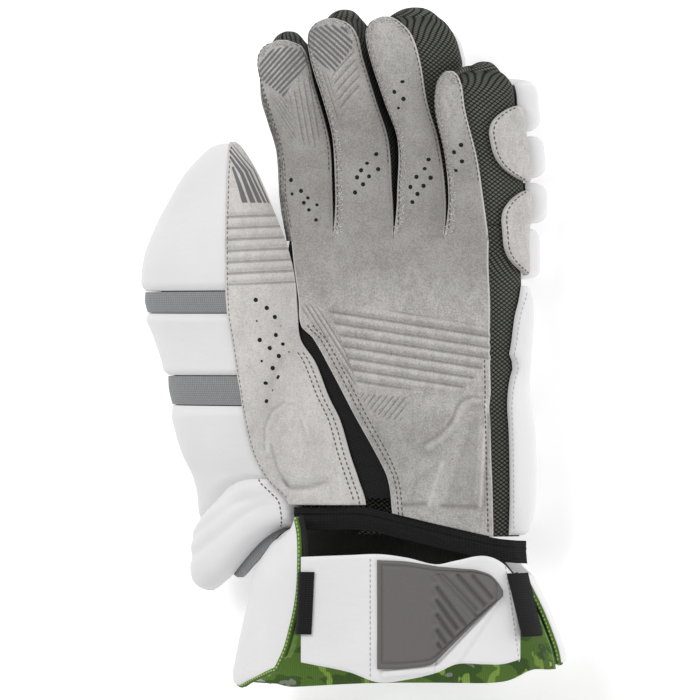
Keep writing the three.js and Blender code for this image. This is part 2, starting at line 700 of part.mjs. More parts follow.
// How far the cuff reaches at each place round it, in shares of its length.
const cuffReach = table(['t', 'start', 'end'], [
  [-1.0, 0, 0.83],
  [-0.8, 0, 0.9],
  [-0.6, 0, 0.97],
  [-0.4, 0, 0.985],
  [0.0, 0, 0.95],
  [0.3, 0, 0.93],
  [0.5, 0.06, 0.84],
  [0.7, 0.2, 0.82],
  [1.0, 0.24, 0.82],
]);
const FLAP_TURN = { inner: 0.44, left: 0.98, right: 0.97 };
const BACK_TURN = 0.435;
const cuffPadding = (t) => CUFF_PAD * (1 - 0.7 * Math.abs(t) ** 6);
function cuffPiece(left, right, low, high, grow = 0, columns = 8) {
  return layer(cuffSurface, {
    columns,
    rows: 6,
    place: (u, v) => {
      const t = mix(left, right, u);
      const reach = cuffReach(t);
      return [t, CUFF_Y - mix(reach.start * CUFF_LENGTH, reach.end * CUFF_LENGTH + grow, v)];
    },
    low,
    high,
    fit: restFlat,
  });
}
function cuffPad(left, right) {
  const edgeSink = 0.35 * (CUFF_PAD - PAD_EDGE) / CUFF_PAD;
  const sink = (u, v, t) => -edgeSink * cuffPadding(t) * (1 - Math.min(1, 1.6 * puff(u, v)));
  return cuffPiece(left, right, (u, v, t) => -cuffPadding(t), sink);
}
function cuffLining() {
  const outside = (u, v, t) => -cuffPadding(t) - mix(2 * PAD_GAP, SEAM, Math.abs(t) ** 6);
  return cuffPiece(-1, 1, (u, v, t) => outside(u, v, t) - LINING, outside, 3, 16);
}

// The wrist strap from the thumb side (0) to the little finger side (1): edges in shares of its width.
const strapShape = table(['along', 'top', 'bottom', 'height'], [
  [0.0, 0.5, -0.42, 1.01],
  [0.23, 0.52, -0.5, 1.007],
  [0.37, 0.53, -0.585, 1.003],
  [0.5, 0.5, -0.56, 0.99],
  [0.63, 0.445, -0.5, 0.965],
  [0.73, 0.48, -0.42, 0.945],
  [0.85, 0.52, -0.42, 0.91],
  [0.93, 0.45, -0.42, 0.86],
  [1.0, 0.27, -0.38, 0.81],
]);
const rubberShape = table(['along', 'top', 'bottom'], [
  [0.37, 0.48, -0.47],
  [0.5, 0.47, -0.46],
  [0.63, 0.435, -0.42],
  [0.73, 0.42, -0.2],
  [0.83, 0.4, -0.03],
  [0.9, 0.33, 0.08],
  [0.935, 0.22, 0.17],
]);
function strapPiece(from, to, edges, low, high) {
  const surface = (along, y) => {
    const x = STRAP_X + along * STRAP_SPAN;
    return new THREE.Vector3(x, y, strapShape(along).height * CUFF_HEIGHT);
  };
  return layer(surface, {
    columns: 8,
    rows: 1,
    place: (u, v) => {
      const along = mix(from, to, u);
      const edge = edges(along);
      return [along, STRAP_Y + mix(edge.top, edge.bottom, v) * STRAP_WIDTH];
    },
    low: () => -high,
    high: () => -low,
  });
}

// An elastic loop over one end of the strap: its path in shares of the loop's reach and the cuff's height.
function strapLoop(end, path, slant) {
  const surface = (place, y) => {
    const s = path(place);
    const x = end + s.across * LOOP_REACH + slant * (STRAP_Y - y);
    return new THREE.Vector3(x, y, s.height * CUFF_HEIGHT);
  };
  return layer(surface, {
    columns: 6,
    rows: 2,
    place: (u, v) => [u, STRAP_Y + LOOP_LENGTH * (LOOP_UP - v)],
    low: () => 0,
    high: () => -LOOP_THICK,
  });
}
const loopLeft = table(['place', 'across', 'height'], [
  [0.0, -0.55, 1.02],
  [0.35, -0.15, 1.045],
  [1.0, 0.7, 1.045],
]);
const loopRight = table(['place', 'across', 'height'], [
  [0.0, -0.35, 0.95],
  [0.4, 0.2, 0.91],
  [0.75, 0.6, 0.78],
  [1.0, 0.75, 0.565],
]);

add('palm_panel', 'suede', palmPanel());
add('thumb_panel', 'suede', thumbPanel());
add('palm_gusset_strip', 'elastic', gussetStrip());
add('hand_liner', 'mesh', handLiner());
add('thumb_liner', 'mesh', thumbLiner());
Object.entries(FINGERS).forEach(([name, finger]) => {
  add(`${name}_gusset`, 'mesh', fingerShell(finger));
  const reach = name === 'pinky' ? PINKY_ROLL_REACH : ROLL_REACH;
  [1, 2, 3].forEach((number) => {
    const [from, to] = [ROLL_JOINTS[3 - number], ROLL_JOINTS[4 - number]];
    add(`${name}_roll_${number}`, 'leather', fingerRoll(finger, from, to - ROLL_GAP, reach));
  });
});
const knuckleTop = ROOT_Y + HAND_OVERLAP - PAD_GAP;
Object.entries(KNUCKLES).forEach(([name, [left, right]]) => {
  add(`${name}_knuckle`, 'leather', handPad(left, right, knuckleTop - KNUCKLE_LENGTH, knuckleTop, BACK_FOAM));
});
const backTop = knuckleTop - KNUCKLE_LENGTH - BACK_GROOVE;
Object.entries(BACK_PADS).forEach(([name, [from, to]]) => {
  const top = mix(backTop, WRIST_Y, from);
  const bottom = mix(backTop, WRIST_Y, to) + BACK_GROOVE;
  add(name, 'leather', handPad(BACK_LEFT, BACK_RIGHT, bottom, top, BACK_FOAM));
});
add('side_panel', 'leather', handPad(SIDE_LEFT, SIDE_RIGHT, WRIST_Y + PAD_GAP, backTop, SIDE_PAD));
add('side_patch_upper', 'suede', sidePatch(0.346, 0.802));
add('side_patch_lower', 'suede', sidePatch(-0.21, 0.296));
const { tip, cap, upper, middle, lower } = THUMB_JOINTS;
add('thumb_cap', 'leather', thumbPiece(tip, cap, THUMB_PAD, 0, 8));
add('thumb_band_upper', 'knit', thumbPiece(cap + THUMB_GAP, upper, THUMB_BAND, BAND_SINK));
add('thumb_segment_middle', 'leather', thumbPiece(upper + THUMB_GAP, middle, THUMB_PAD, 0));
add('thumb_band_lower', 'knit', thumbPiece(middle + THUMB_GAP, lower, THUMB_BAND, BAND_SINK));
add('thumb_segment_lower', 'leather', thumbSegmentLower());
add('wrist_roll', 'leather', wristRoll());
add('wrist_binding', 'elastic', wristBinding());
add('cuff_back_pad', 'leather', cuffPad(-BACK_TURN, BACK_TURN));
add('cuff_flap_left', 'leather', cuffPad(-FLAP_TURN.left, -FLAP_TURN.inner));
add('cuff_flap_right', 'leather', cuffPad(FLAP_TURN.inner, FLAP_TURN.right));
add('cuff_lining', 'lining', cuffLining());
const { seam, band, tail, patch } = STRAP_PARTS;
add('strap_band', 'leather', strapPiece(0, band, strapShape, 0, STRAP_THICK));
add('strap_tail', 'leather', strapPiece(tail, 1, strapShape, 0, STRAP_THICK));
add('strap_patch', 'rubber', strapPiece(seam, patch, rubberShape, PATCH_LEVEL, PATCH_LEVEL + RUBBER_THICK));
add('strap_loop_left', 'elastic', strapLoop(STRAP_X, loopLeft, 0.1));
add('strap_loop_right', 'elastic', strapLoop(STRAP_X + STRAP_SPAN, loopRight, 0.25));

export default glove;
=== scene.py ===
import math
from types import SimpleNamespace

import bmesh
import bpy
import numpy as np
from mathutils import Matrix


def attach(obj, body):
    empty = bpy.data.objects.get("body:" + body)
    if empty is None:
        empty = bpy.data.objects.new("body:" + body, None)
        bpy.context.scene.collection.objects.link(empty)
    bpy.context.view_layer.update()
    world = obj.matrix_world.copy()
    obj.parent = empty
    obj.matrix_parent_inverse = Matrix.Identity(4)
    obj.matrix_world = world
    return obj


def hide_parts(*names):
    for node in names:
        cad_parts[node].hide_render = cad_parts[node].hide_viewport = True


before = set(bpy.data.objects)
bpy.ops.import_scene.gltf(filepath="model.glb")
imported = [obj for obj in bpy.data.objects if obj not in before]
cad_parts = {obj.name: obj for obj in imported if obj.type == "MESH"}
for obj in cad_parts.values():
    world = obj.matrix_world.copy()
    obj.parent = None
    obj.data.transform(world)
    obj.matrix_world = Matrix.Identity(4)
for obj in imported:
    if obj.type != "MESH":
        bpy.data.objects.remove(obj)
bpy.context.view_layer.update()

# The studio: a white table, a pale room and soft lamps above the palm. The camera looks down at
# the palm from a little to the little finger's side, far off, as a product camera does.
# Sizes here are millimetres; the origin of the glove is seen at one known pixel.
TILT = math.radians(18)
PIXEL = 0.485
IMAGE_WIDTH = 700
ORIGIN_PIXEL = (435, 350)
CAMERA_DISTANCE = 3200
TARGET_HEIGHT = 40
SENSOR = 36
CLIP_START, CLIP_END = 0.1, 20
FLOOR_SIZE, FLOOR_DROP = 6000, 0.0005


def at_pixel(px, py, z):
    """Place in mm of what the photograph shows at a pixel: along the pixel's sight line to height z."""
    x = ((px - ORIGIN_PIXEL[0]) * PIXEL + z * math.sin(TILT)) / math.cos(TILT)
    return x, (ORIGIN_PIXEL[1] - py) * PIXEL


def pixel_of(points):
    """Pixel of the photograph that shows each point in mm: the point seen along the tilted sight line."""
    px = ORIGIN_PIXEL[0] + (points[..., 0] * math.cos(TILT) - points[..., 2] * math.sin(TILT)) / PIXEL
    return px, ORIGIN_PIXEL[1] - points[..., 1] / PIXEL


target_x, _ = at_pixel(IMAGE_WIDTH / 2, 0, TARGET_HEIGHT)
camera = bpy.data.objects.new("camera", bpy.data.cameras.new("camera"))
camera.data.sensor_width = SENSOR
camera.data.lens = SENSOR * CAMERA_DISTANCE / (PIXEL * IMAGE_WIDTH)
camera.data.clip_start, camera.data.clip_end = CLIP_START, CLIP_END
camera.location = (
    (target_x + CAMERA_DISTANCE * math.sin(TILT)) / 1000,
    0,
    (TARGET_HEIGHT + CAMERA_DISTANCE * math.cos(TILT)) / 1000,
)
camera.rotation_euler = (0, TILT, 0)
bpy.context.scene.collection.objects.link(camera)
bpy.context.scene.camera = camera
bpy.context.scene.view_settings.view_transform = "Standard"

LAMPS = {
    "key": {"place": (-0.9, 0.9, 1.7), "size": 1.0, "power": 18},
    "fill": {"place": (1.3, 0.2, 1.5), "size": 1.6, "power": 4},
    "side": {"place": (1.5, 0.1, 0.35), "size": 1.2, "power": 6.6},
    "low": {"place": (-0.2, -1.5, 1.2), "size": 1.4, "power": 2},
}
ROOM_LIGHT = 0.5
FLOOR_GLOW = 0.3
for lamp_name, lamp_facts in LAMPS.items():
    lamp = bpy.data.objects.new(lamp_name, bpy.data.lights.new(lamp_name, "AREA"))
    lamp.data.size = lamp_facts["size"]
    lamp.data.energy = lamp_facts["power"]
    lamp.location = lamp_facts["place"]
    lamp.rotation_euler = (-lamp.location).to_track_quat("-Z", "Y").to_euler()
    bpy.context.scene.collection.objects.link(lamp)
room = bpy.data.worlds.new("room")
room.use_nodes = True
room.node_tree.nodes["Background"].inputs["Color"].default_value = (1, 1, 1, 1)
room.node_tree.nodes["Background"].inputs["Strength"].default_value = ROOM_LIGHT
bpy.context.scene.world = room


class Wire:
    """A number that runs between shader nodes; arithmetic on it adds Math nodes."""

    def __init__(self, look, socket):
        self.look, self.socket = look, socket

    def maths(self, operation, first, second):
        return self.look.node("Math", {"operation": operation}, {0: first, 1: second})

    def __add__(self, other):
        return self.maths("ADD", self, other)

    def __radd__(self, other):
        return self.maths("ADD", other, self)

    def __sub__(self, other):
        return self.maths("SUBTRACT", self, other)

    def __rsub__(self, other):
        return self.maths("SUBTRACT", other, self)

    def __mul__(self, other):
        return self.maths("MULTIPLY", self, other)

    def __rmul__(self, other):
        return self.maths("MULTIPLY", other, self)

    def __truediv__(self, other):
        return self.maths("DIVIDE", self, other)

    def __abs__(self):
        return self.look.node("Math", {"operation": "ABSOLUTE"}, {0: self})

    def wave(self):
        """The sine of the number."""
        return self.look.node("Math", {"operation": "SINE"}, {0: self})

    def ribs(self, pitch):
        """Even ribs from 0 to 1: the sine of the number over their pitch."""
        return (self * 2 * math.pi / pitch).wave() * 0.5 + 0.5

    def above(self, edge, soft):
        """A mask, 0 below the edge and 1 above it, with a soft step of the given width."""
        spans = {"From Min": edge - soft / 2, "From Max": edge + soft / 2}
        settings = {"interpolation_type": "SMOOTHSTEP"}
        return self.look.node("MapRange", settings, {"Value": self, **spans})


class Look:
    """A finish made of shader nodes round one Principled shader."""

    def __init__(self, name, **fixed):
        self.material = bpy.data.materials.new(name)
        self.material.use_nodes = True
        self.tree = self.material.node_tree
        self.shader = self.tree.nodes["Principled BSDF"]
        for name, value in fixed.items():
            socket = name.replace("_", " ").title().replace("Ior", "IOR")
            self.shader.inputs[socket].default_value = value

    def put(self, socket, value):
        """Links a wire to a socket, or sets the socket to a plain value."""
        if isinstance(value, Wire):
            self.tree.links.new(value.socket, socket)
        else:
            socket.default_value = value

    def node(self, kind, settings=None, sockets=None, output=0):
        """A node of a type, with its settings first and then the values or wires of its sockets."""
        made = self.tree.nodes.new("ShaderNode" + kind)
        for name, value in (settings or {}).items():
            setattr(made, name, value)
        for name, value in (sockets or {}).items():
            self.put(made.inputs[name], value)
        return Wire(self, made.outputs[output])

    def point(self, stretch=(1, 1, 1), turn=(0, 0, 0)):
        """A place on the glove, in metres, stretched and turned for a pattern."""
        place = self.node("TexCoord", output="Object")
        return self.node("Mapping", {}, {"Vector": place, "Scale": stretch, "Rotation": turn})

    def noise(self, scale, detail=2.0, roughness=0.5, point=None):
        """Cloudy noise from 0 to 1; the scale is in clouds a metre."""
        point = point or self.point()
        sockets = {"Vector": point, "Scale": scale, "Detail": detail, "Roughness": roughness}
        return self.node("TexNoise", {}, sockets)

    def along_cloth(self):
        """The two distances in metres along the threads of the piece's own cloth."""
        place = self.node("UVMap", {"uv_map": "cloth"})
        split = self.node("SeparateXYZ", {}, {0: place})
        return split, Wire(self, split.socket.node.outputs[1])

    def mark(self, name):
        """A number that the mesh carries at its points."""
        return self.node("Attribute", {"attribute_name": name}, output="Fac")

    def blend(self, share, first, second):
        """A colour between two, by share."""
        made = self.tree.nodes.new("ShaderNodeMix")
        made.data_type = "RGBA"
        self.put(made.inputs[0], share)
        self.put(made.inputs[6], first)
        self.put(made.inputs[7], second)
        return Wire(self, made.outputs[2])

    def relief(self, height, depth, strength=1.0):
        """A bump normal from a height from 0 to 1 and its depth in metres."""
        sockets = {"Height": height, "Distance": depth, "Strength": strength}
        return self.node("Bump", {}, sockets)

    def wear(self, **wires):
        """Links what changes over the surface to the shader."""
        for name, value in wires.items():
            self.put(self.shader.inputs[name.replace("_", " ").title()], value)
        return self.material


def tone(red, green, blue):
    """The shader colour of a photographed colour from 0 to 255: each channel with its gamma undone."""
    shares = np.array([red, green, blue]) / 255
    linear = np.where(shares <= 0.04045, shares / 12.92, ((shares + 0.055) / 1.055) ** 2.4)
    return (*linear.tolist(), 1.0)


FLOOR_TONE = tone(252, 252, 252)
floor_look = Look("floor_paper", roughness=0.95, base_color=FLOOR_TONE, emission_color=FLOOR_TONE,
                  emission_strength=FLOOR_GLOW)
floor_cloud = floor_look.noise(3)
floor_look.wear(base_color=floor_look.blend(floor_cloud, FLOOR_TONE, tone(250, 250, 250)))
half = FLOOR_SIZE / 2000
floor_mesh = bpy.data.meshes.new("floor")
floor_corners = [(-half, -half), (half, -half), (half, half), (-half, half)]
floor_mesh.from_pydata([(x, y, -FLOOR_DROP) for x, y in floor_corners], [], [(0, 1, 2, 3)])
floor_mesh.materials.append(floor_look.material)
floor = bpy.data.objects.new("floor", floor_mesh)
bpy.context.scene.collection.objects.link(floor)

# The suede palm: one sheet of grey synthetic suede, cut with four finger strips. Ribs and arches are
# pressed into it, groups of holes are punched for air, and each finger's left edge is a sewn border.
HAND_WIDTH, PALM_LENGTH, ROOT_Y, PALM_TOP, PALM_ARCH = 100, 143, 53, 48, 2
WRIST_SLANT, FINGER_RISE = 11, 11
SUEDE = 1.5
UNDERLAP = 2
SEAM = 0.4


def mix(a, b, share):
    """Between a and b by share."""
    return a + (b - a) * share


def smooth(value, low, high):
    """0 below low, 1 above high, and a smooth step between."""
    share = np.clip((value - low) / (high - low), 0, 1)
    return share * share * (3 - 2 * share)


def net(columns, rows, u_ends=(0, 1), v_ends=(0, 1)):
    """Two grids of even shares: u runs across the columns and v down the rows."""
    return np.meshgrid(np.linspace(*u_ends, columns + 1), np.linspace(*v_ends, rows + 1))


def table(columns, rows):
    """A smooth curve through a table's rows: between two rows a cubic that keeps the slopes there."""
    rows = np.array(rows, float)
    order = np.arange(len(rows))
    low, high = rows[np.maximum(order - 1, 0)], rows[np.minimum(order + 1, len(rows) - 1)]
    slopes = (high - low) / (high[:, :1] - low[:, :1])

    def read(value):
        value = np.asarray(value, float)
        at = np.clip(np.searchsorted(rows[:, 0], value) - 1, 0, len(rows) - 2)
        span = (rows[at + 1, 0] - rows[at, 0])[..., None]
        s = np.clip((value[..., None] - rows[at, :1]) / span, 0, 1)
        ends = rows[at] * (1 + 2 * s) * (1 - s) ** 2 + rows[at + 1] * s * s * (3 - 2 * s)
        bends = slopes[at] * s * (1 - s) ** 2 - slopes[at + 1] * s * s * (1 - s)
        found = ends + span * bends
        return SimpleNamespace(**{name: found[..., place] for place, name in enumerate(columns)})

    return read


palm_shape = table(("along", "left", "right", "level"), [
    (0.0, -0.58, 0.42, 0.98),
    (0.08, -0.566, 0.418, 0.985),
    (0.2, -0.54, 0.425, 0.99),
    (0.29, -0.527, 0.425, 0.99),
    (0.33, -0.47, 0.425, 0.99),
    (0.44, -0.379, 0.425, 0.98),
    (0.575, -0.28, 0.427, 0.965),
    (0.737, -0.162, 0.427, 0.93),
    (0.846, -0.1, 0.427, 0.91),
    (1.0, -0.08, 0.426, 0.88),
])


def stack(x, y, z):
    """Points from their three coordinates, each a grid or a number."""
    return np.stack(np.broadcast_arrays(x, y, z), axis=-1).astype(float)


def palm_point(u, along):
    """The palm's sheet: across it by u, down it by along from the finger roots, in a shallow arch."""
    s = palm_shape(along)
    y = ROOT_Y - along * PALM_LENGTH + WRIST_SLANT * (1 - u) * along ** 4
    arch = PALM_ARCH * (1 - (2 * u - 1) ** 2)
    return stack(mix(s.left, s.right, u) * HAND_WIDTH, y, PALM_TOP * s.level + arch)


FINGER_COLUMNS = ("along", "left", "right", "rise", "shell_left", "shell_right", "heel")


def finger_facts(length, share, left_parting, right_parting, rows):
    """A finger's length, its share of the root line, its two parting lines and its section table."""
    return SimpleNamespace(
        length=length,
        share=share,
        left_parting=left_parting,
        right_parting=right_parting,
        shape=table(FINGER_COLUMNS, rows),
    )


FINGERS = {
    "index": finger_facts(97, (0, 0.217), None, "first", [
        (0.0, -0.58, -0.363, 0, -0.66, -0.3, 0),
        (0.2, -0.612, -0.37, 0.05, -0.69, -0.3, 0),
        (0.45, -0.626, -0.374, 0.18, -0.71, -0.3, 0.1),
        (0.6, -0.665, -0.4, 0.35, -0.73, -0.35, 0.25),
        (0.78, -0.715, -0.445, 0.55, -0.745, -0.4, 0.5),
        (0.9, -0.73, -0.468, 0.72, -0.745, -0.44, 0.9),
        (0.97, -0.69, -0.5, 0.85, -0.73, -0.47, 1.4),
        (1.0, -0.62, -0.57, 0.88, -0.72, -0.47, 1.9),
    ]),
    "middle": finger_facts(107, (0.217, 0.525), "first", "second", [
        (0.0, -0.363, -0.055, 0, -0.5, 0, 0),
        (0.2, -0.355, -0.065, 0.05, -0.5, 0, 0),
        (0.45, -0.362, -0.082, 0.2, -0.5, 0, 0.1),
        (0.62, -0.397, -0.13, 0.5, -0.5, 0, 0.25),
        (0.82, -0.455, -0.19, 0.82, -0.5, -0.1, 0.6),
        (0.93, -0.462, -0.215, 0.95, -0.46, -0.15, 1.2),
        (0.98, -0.42, -0.26, 1.03, -0.45, -0.15, 1.6),
        (1.0, -0.37, -0.32, 1.05, -0.44, -0.15, 2.0),
    ]),
    "ring": finger_facts(107.5, (0.525, 0.777), "second", "third", [
        (0.0, -0.055, 0.197, 0, -0.1, 0.3, 0),
        (0.2, -0.04, 0.203, 0.05, -0.1, 0.3, 0),
        (0.45, -0.035, 0.17, 0.2, -0.1, 0.3, 0.1),
        (0.62, -0.09, 0.125, 0.5, -0.15, 0.28, 0.25),
        (0.82, -0.155, 0.095, 0.8, -0.2, 0.255, 0.6),
        (0.93, -0.17, 0.055, 0.92, -0.16, 0.235, 1.2),
        (0.98, -0.14, 0.0, 0.98, -0.14, 0.228, 1.6),
        (1.0, -0.09, -0.04, 1.0, -0.13, 0.222, 2.0),
    ]),
    "pinky": finger_facts(81, (0.777, 1), "third", None, [
        (0.0, 0.197, 0.42, 0, 0.2, 0.54, 0),
        (0.25, 0.217, 0.39, 0.0, 0.2, 0.54, 0),
        (0.5, 0.2, 0.36, 0.1, 0.2, 0.53, 0),
        (0.78, 0.16, 0.31, 0.35, 0.2, 0.51, 0.4),
        (0.92, 0.17, 0.298, 0.48, 0.24, 0.515, 0.9),
        (0.98, 0.2, 0.28, 0.55, 0.25, 0.51, 1.5),
        (1.0, 0.225, 0.26, 0.58, 0.26, 0.505, 2.0),
    ]),
}


def strip_point(finger, u, along):
    """A finger's strip: across it by u and along it from the roots to the tip, rising toward the tip."""
    s = finger.shape(along)
    root = palm_point(mix(*finger.share, u), np.zeros_like(along))[..., 2]
    crown = PALM_ARCH * (1 - (2 * u - 1) ** 2)
    z = PALM_TOP * palm_shape(0.0).level + s.rise * FINGER_RISE + crown
    y = ROOT_Y + along * finger.length
    return stack(mix(s.left, s.right, u) * HAND_WIDTH, y, mix(root, z, smooth(along, 0, 0.2)))


def near_line(px, py, line):
    """Distance in mm from pixels to a line through other pixels, and the share of the way along it."""
    best = np.full(np.shape(px), 1e9)
    share = np.zeros(np.shape(px))
    for step, ((ax, ay), (bx, by)) in enumerate(zip(line[:-1], line[1:])):
        dx, dy = bx - ax, by - ay
        s = np.clip(((px - ax) * dx + (py - ay) * dy) / (dx * dx + dy * dy), 0, 1)
        distance = np.hypot(px - ax - s * dx, py - ay - s * dy)
        share = np.where(distance < best, (step + s) / (len(line) - 1), share)
        best = np.minimum(best, distance)
    return best * PIXEL, share


def inside(px, py, outline):
    """How far pixels lie inside a closed outline of pixels, in mm, and below 0 outside it."""
    distance, _ = near_line(px, py, [*outline, outline[0]])
    within = np.zeros(np.shape(px), bool)
    for (ax, ay), (bx, by) in zip(outline, [*outline[1:], outline[0]]):
        crosses = (ay > py) != (by > py)
        within ^= crosses & (px < ax + (bx - ax) * (py - ay) / (by - ay + 1e-9))
    return np.where(within, distance, -distance)


def bell(distance, width):
    """The profile of a pressed rib: a bell curve of the distance from its middle line."""
    return np.exp(-(distance / width) ** 2)


def swirl(x, y, size, seed):
    """Soft creases from -1 to 1: five waves of fixed directions and phases, about one size long."""
    rng = np.random.default_rng(seed)
    total = 0
    for _ in range(5):
        turn, phase, stretch = rng.uniform(0, 2 * np.pi), rng.uniform(0, 2 * np.pi), rng.uniform(0.6, 1.6)
        total = total + np.sin(2 * np.pi * stretch * (x * np.cos(turn) + y * np.sin(turn)) / size + phase)
    return total / 5


GROOVES = {
    "palm": [
        {"at": (330, 312), "turn": 9, "pitch": 10.7, "area": [
            (326, 306), (400, 311), (490, 327), (490, 358), (480, 372), (458, 394), (400, 390),
            (357, 387), (343, 352)]},
        {"at": (310, 304), "turn": 58, "pitch": 4.4, "area": [
            (299, 309), (306, 301), (318, 306), (338, 331), (352, 362), (356, 386), (349, 386),
            (336, 352), (322, 336)]},
        {"at": (353, 391), "turn": -52, "pitch": 5.0, "area": [
            (353, 391), (408, 396), (402, 422), (388, 420), (372, 413)]},
    ],
    "index": [
        {"at": (271, 99), "turn": 56, "pitch": 3.2, "area": [
            (271, 99), (289, 96), (295, 120), (300, 140), (293, 141)]},
        {"at": (292, 97), "turn": 80, "pitch": 5.2, "area": [
            (290, 97), (311, 73), (318, 98), (322, 138), (317, 152), (302, 141)]},
    ],
    "middle": [
        {"at": (312, 62), "turn": 72, "pitch": 4.0, "area": [
            (310, 62), (332, 77), (338, 101), (342, 120), (338, 122)]},
        {"at": (334, 78), "turn": -50, "pitch": 6.6, "area": [
            (333, 76), (354, 50), (362, 74), (362, 92), (344, 120), (338, 98)]},
    ],
    "thumb": [
        {"at": (260, 216), "turn": -3, "pitch": 11.3, "area": [
            (225, 209), (292, 209), (300, 285), (226, 287)]},
    ],
}
# The second number is how strong the painted highlight and shade over the ribs are.
RIB_HEIGHT, RIB_PAINTED_LIGHT = 0.3, 0.45


def groove_marks(name, px, py):
    """The running number of the pressed groove at each point and how far it lies inside its pressed
    area in mm: the number is the distance across the grooves over their pitch."""
    phase, depth = np.zeros(np.shape(px)), np.full(np.shape(px), -2.0)
    for facts in GROOVES.get(name, []):
        turn = math.radians(facts["turn"])
        right, down = px - facts["at"][0], py - facts["at"][1]
        number = (down * math.cos(turn) - right * math.sin(turn)) / facts["pitch"]
        here = inside(px, py, facts["area"])
        phase = np.where(here > depth, number, phase)
        depth = np.maximum(depth, here)
    return phase, depth


def groove_waves(name, px, py):
    """Height in mm of the swells between pressed grooves: a sine wave over their running number."""
    phase, depth = groove_marks(name, px, py)
    return -RIB_HEIGHT * np.cos(2 * np.pi * phase) * smooth(depth, 0, 1.5)


def groove_rub(name, px, py):
    """Painted light from -1 to 1 over pressed ribs: a highlight below each groove and shade above it."""
    phase, depth = groove_marks(name, px, py)
    return RIB_PAINTED_LIGHT * np.sin(2 * np.pi * phase) * smooth(depth, 0, 2.5)


def pressed_lines(px, py, rows):
    """The sum of some pressed lines: a line of pixels, its shift right and down in pixels, what it adds
    at its middle and the width in mm of its bell."""
    return sum(amount * bell(near_line(px - right, py - down, line)[0], width)
               for line, right, down, amount, width in rows)


HEEL_ARCH = [
    (427, 446), (439, 439), (448, 431), (455, 421), (460, 408), (467, 401), (476, 399), (484, 401),
    (487, 410),
]
HEEL_SIDE = [(486, 405), (484, 440), (482, 475), (480, 505)]
HEEL_PAD = [(468, 423), (478, 416), (477, 460), (475, 506), (442, 506), (452, 470)]
HEEL_WEDGE = [(442, 459), (432, 485), (425, 504), (403, 505), (412, 480)]
HEEL_RELIEF = [(HEEL_ARCH, 0, 0, 1.5, 2.4), (HEEL_SIDE, 0, 0, 1.2, 1.8)]
# Painted highlight (above 0) and painted shade (below 0) along the heel's pressed lines.
HEEL_PAINTED_LIGHT = [
    (HEEL_ARCH, -3, -3, -0.9, 0.8),
    (HEEL_ARCH, 1, 1, 0.7, 1.3),
    (HEEL_SIDE, 0, 0, 0.9, 0.6),
    (HEEL_SIDE, 3.5, 0, -0.7, 0.9),
    ([(441, 505), (474, 506)], 0, 0, -1.1, 1.2),
    ([(404, 504), (424, 503)], 0, 0, -1.1, 1.2),
    ([(442, 461), (435, 482), (429, 504)], 0, 0, 0.7, 1.1),
]
# The last number is how deep the painted shade in the heel pad's hollow is.
HEEL_PAD_DEPTH, HEEL_WEDGE_DEPTH, HEEL_PAD_SHADE = 1.6, 1.4, 0.35


def palm_relief(px, py):
    """Height in mm of what is pressed into the palm: ribs, the heel's arch, two hollows, soft dents."""
    height = 0.7 * swirl(px, py, 150, 3) + 0.35 * swirl(px, py, 60, 4) + groove_waves("palm", px, py)
    height += pressed_lines(px, py, HEEL_RELIEF)
    height -= HEEL_PAD_DEPTH * smooth(inside(px, py, HEEL_PAD), -1.2, 3.5)
    return height - HEEL_WEDGE_DEPTH * smooth(inside(px, py, HEEL_WEDGE), -1.2, 3.5)


def palm_rub(px, py):
    """Painted light from -1 to 1 of the palm: a highlight on rims and ribs, shade below them,
    in the heel pad and at the hollows' ends.
    """
    hollow = HEEL_PAD_SHADE * smooth(inside(px, py, HEEL_PAD), -0.5, 2)
    return groove_rub("palm", px, py) + pressed_lines(px, py, HEEL_PAINTED_LIGHT) - hollow


BORDER, BORDER_RISE = 4.4, 0.5
JOINT_SHARE, JOINT_FOLD = 0.36, 2.2
TIP_BORDER_START, TIP_BORDER_END, TIP_BORDER_GROWTH = 0.87, 0.93, 1.2
NO_BORDER = 30
TIP_PRINTS = {
    "index": {
        "from": (262, 76), "rise": 42, "bow": 0.004, "area": [
            (257, 74), (262, 60), (275, 50), (290, 47), (304, 52), (309, 64), (303, 72), (286, 98),
            (262, 80)],
    },
    "middle": {
        "from": (346, 32), "rise": -42, "bow": -0.004, "area": [
            (303, 40), (312, 30), (330, 26), (346, 29), (353, 42), (354, 49), (336, 75), (318, 62)],
    },
}
STRIPE_PITCH, STRIPE_WIDTH = 2.1, 1.15
STRIP_CROWN = 3.2


def border_depth(name, from_left, from_right, along, length):
    """Distance in mm from a strip's sewn edge: its left edge, and near the tip the whole way round."""
    below = NO_BORDER * (1 - smooth(along, TIP_BORDER_START, TIP_BORDER_END))
    left = from_left + (below if name == "index" else 0) + NO_BORDER * (1 - smooth(along, 0, 0.03))
    tip = np.minimum(from_right + below, (1 - along) * length) + TIP_BORDER_GROWTH
    return np.minimum(left, tip)


def strip_relief(name, px, py, from_left, from_right, along, length):
    """Height in mm of a strip's sewn border, the folds at its joint and the ribs pressed in its tip."""
    sewn = border_depth(name, from_left, from_right, along, length)
    height = BORDER_RISE * (1 - smooth(sewn, BORDER - 0.5, BORDER + 0.2))
    height -= 0.35 * bell(sewn - BORDER - 0.5, 0.5)
    height -= 0.9 * bell(np.minimum(from_left, from_right), 0.7)
    height += 0.6 * swirl(px, py, 75, 5)
    middle = from_left * from_right / (from_left + from_right + 1e-9) ** 2 * 4
    height -= JOINT_FOLD * bell(along - JOINT_SHARE, 0.07) * middle
    height -= 0.6 * bell(along - JOINT_SHARE - 0.13, 0.03) * middle
    height += groove_waves(name, px, py) * 0.5
    ends = smooth(along, 0, 0.06) * (1 - smooth(along, 0.955, 1))
    return (height + STRIP_CROWN * middle * smooth(along, 0.1, 0.5)) * ends


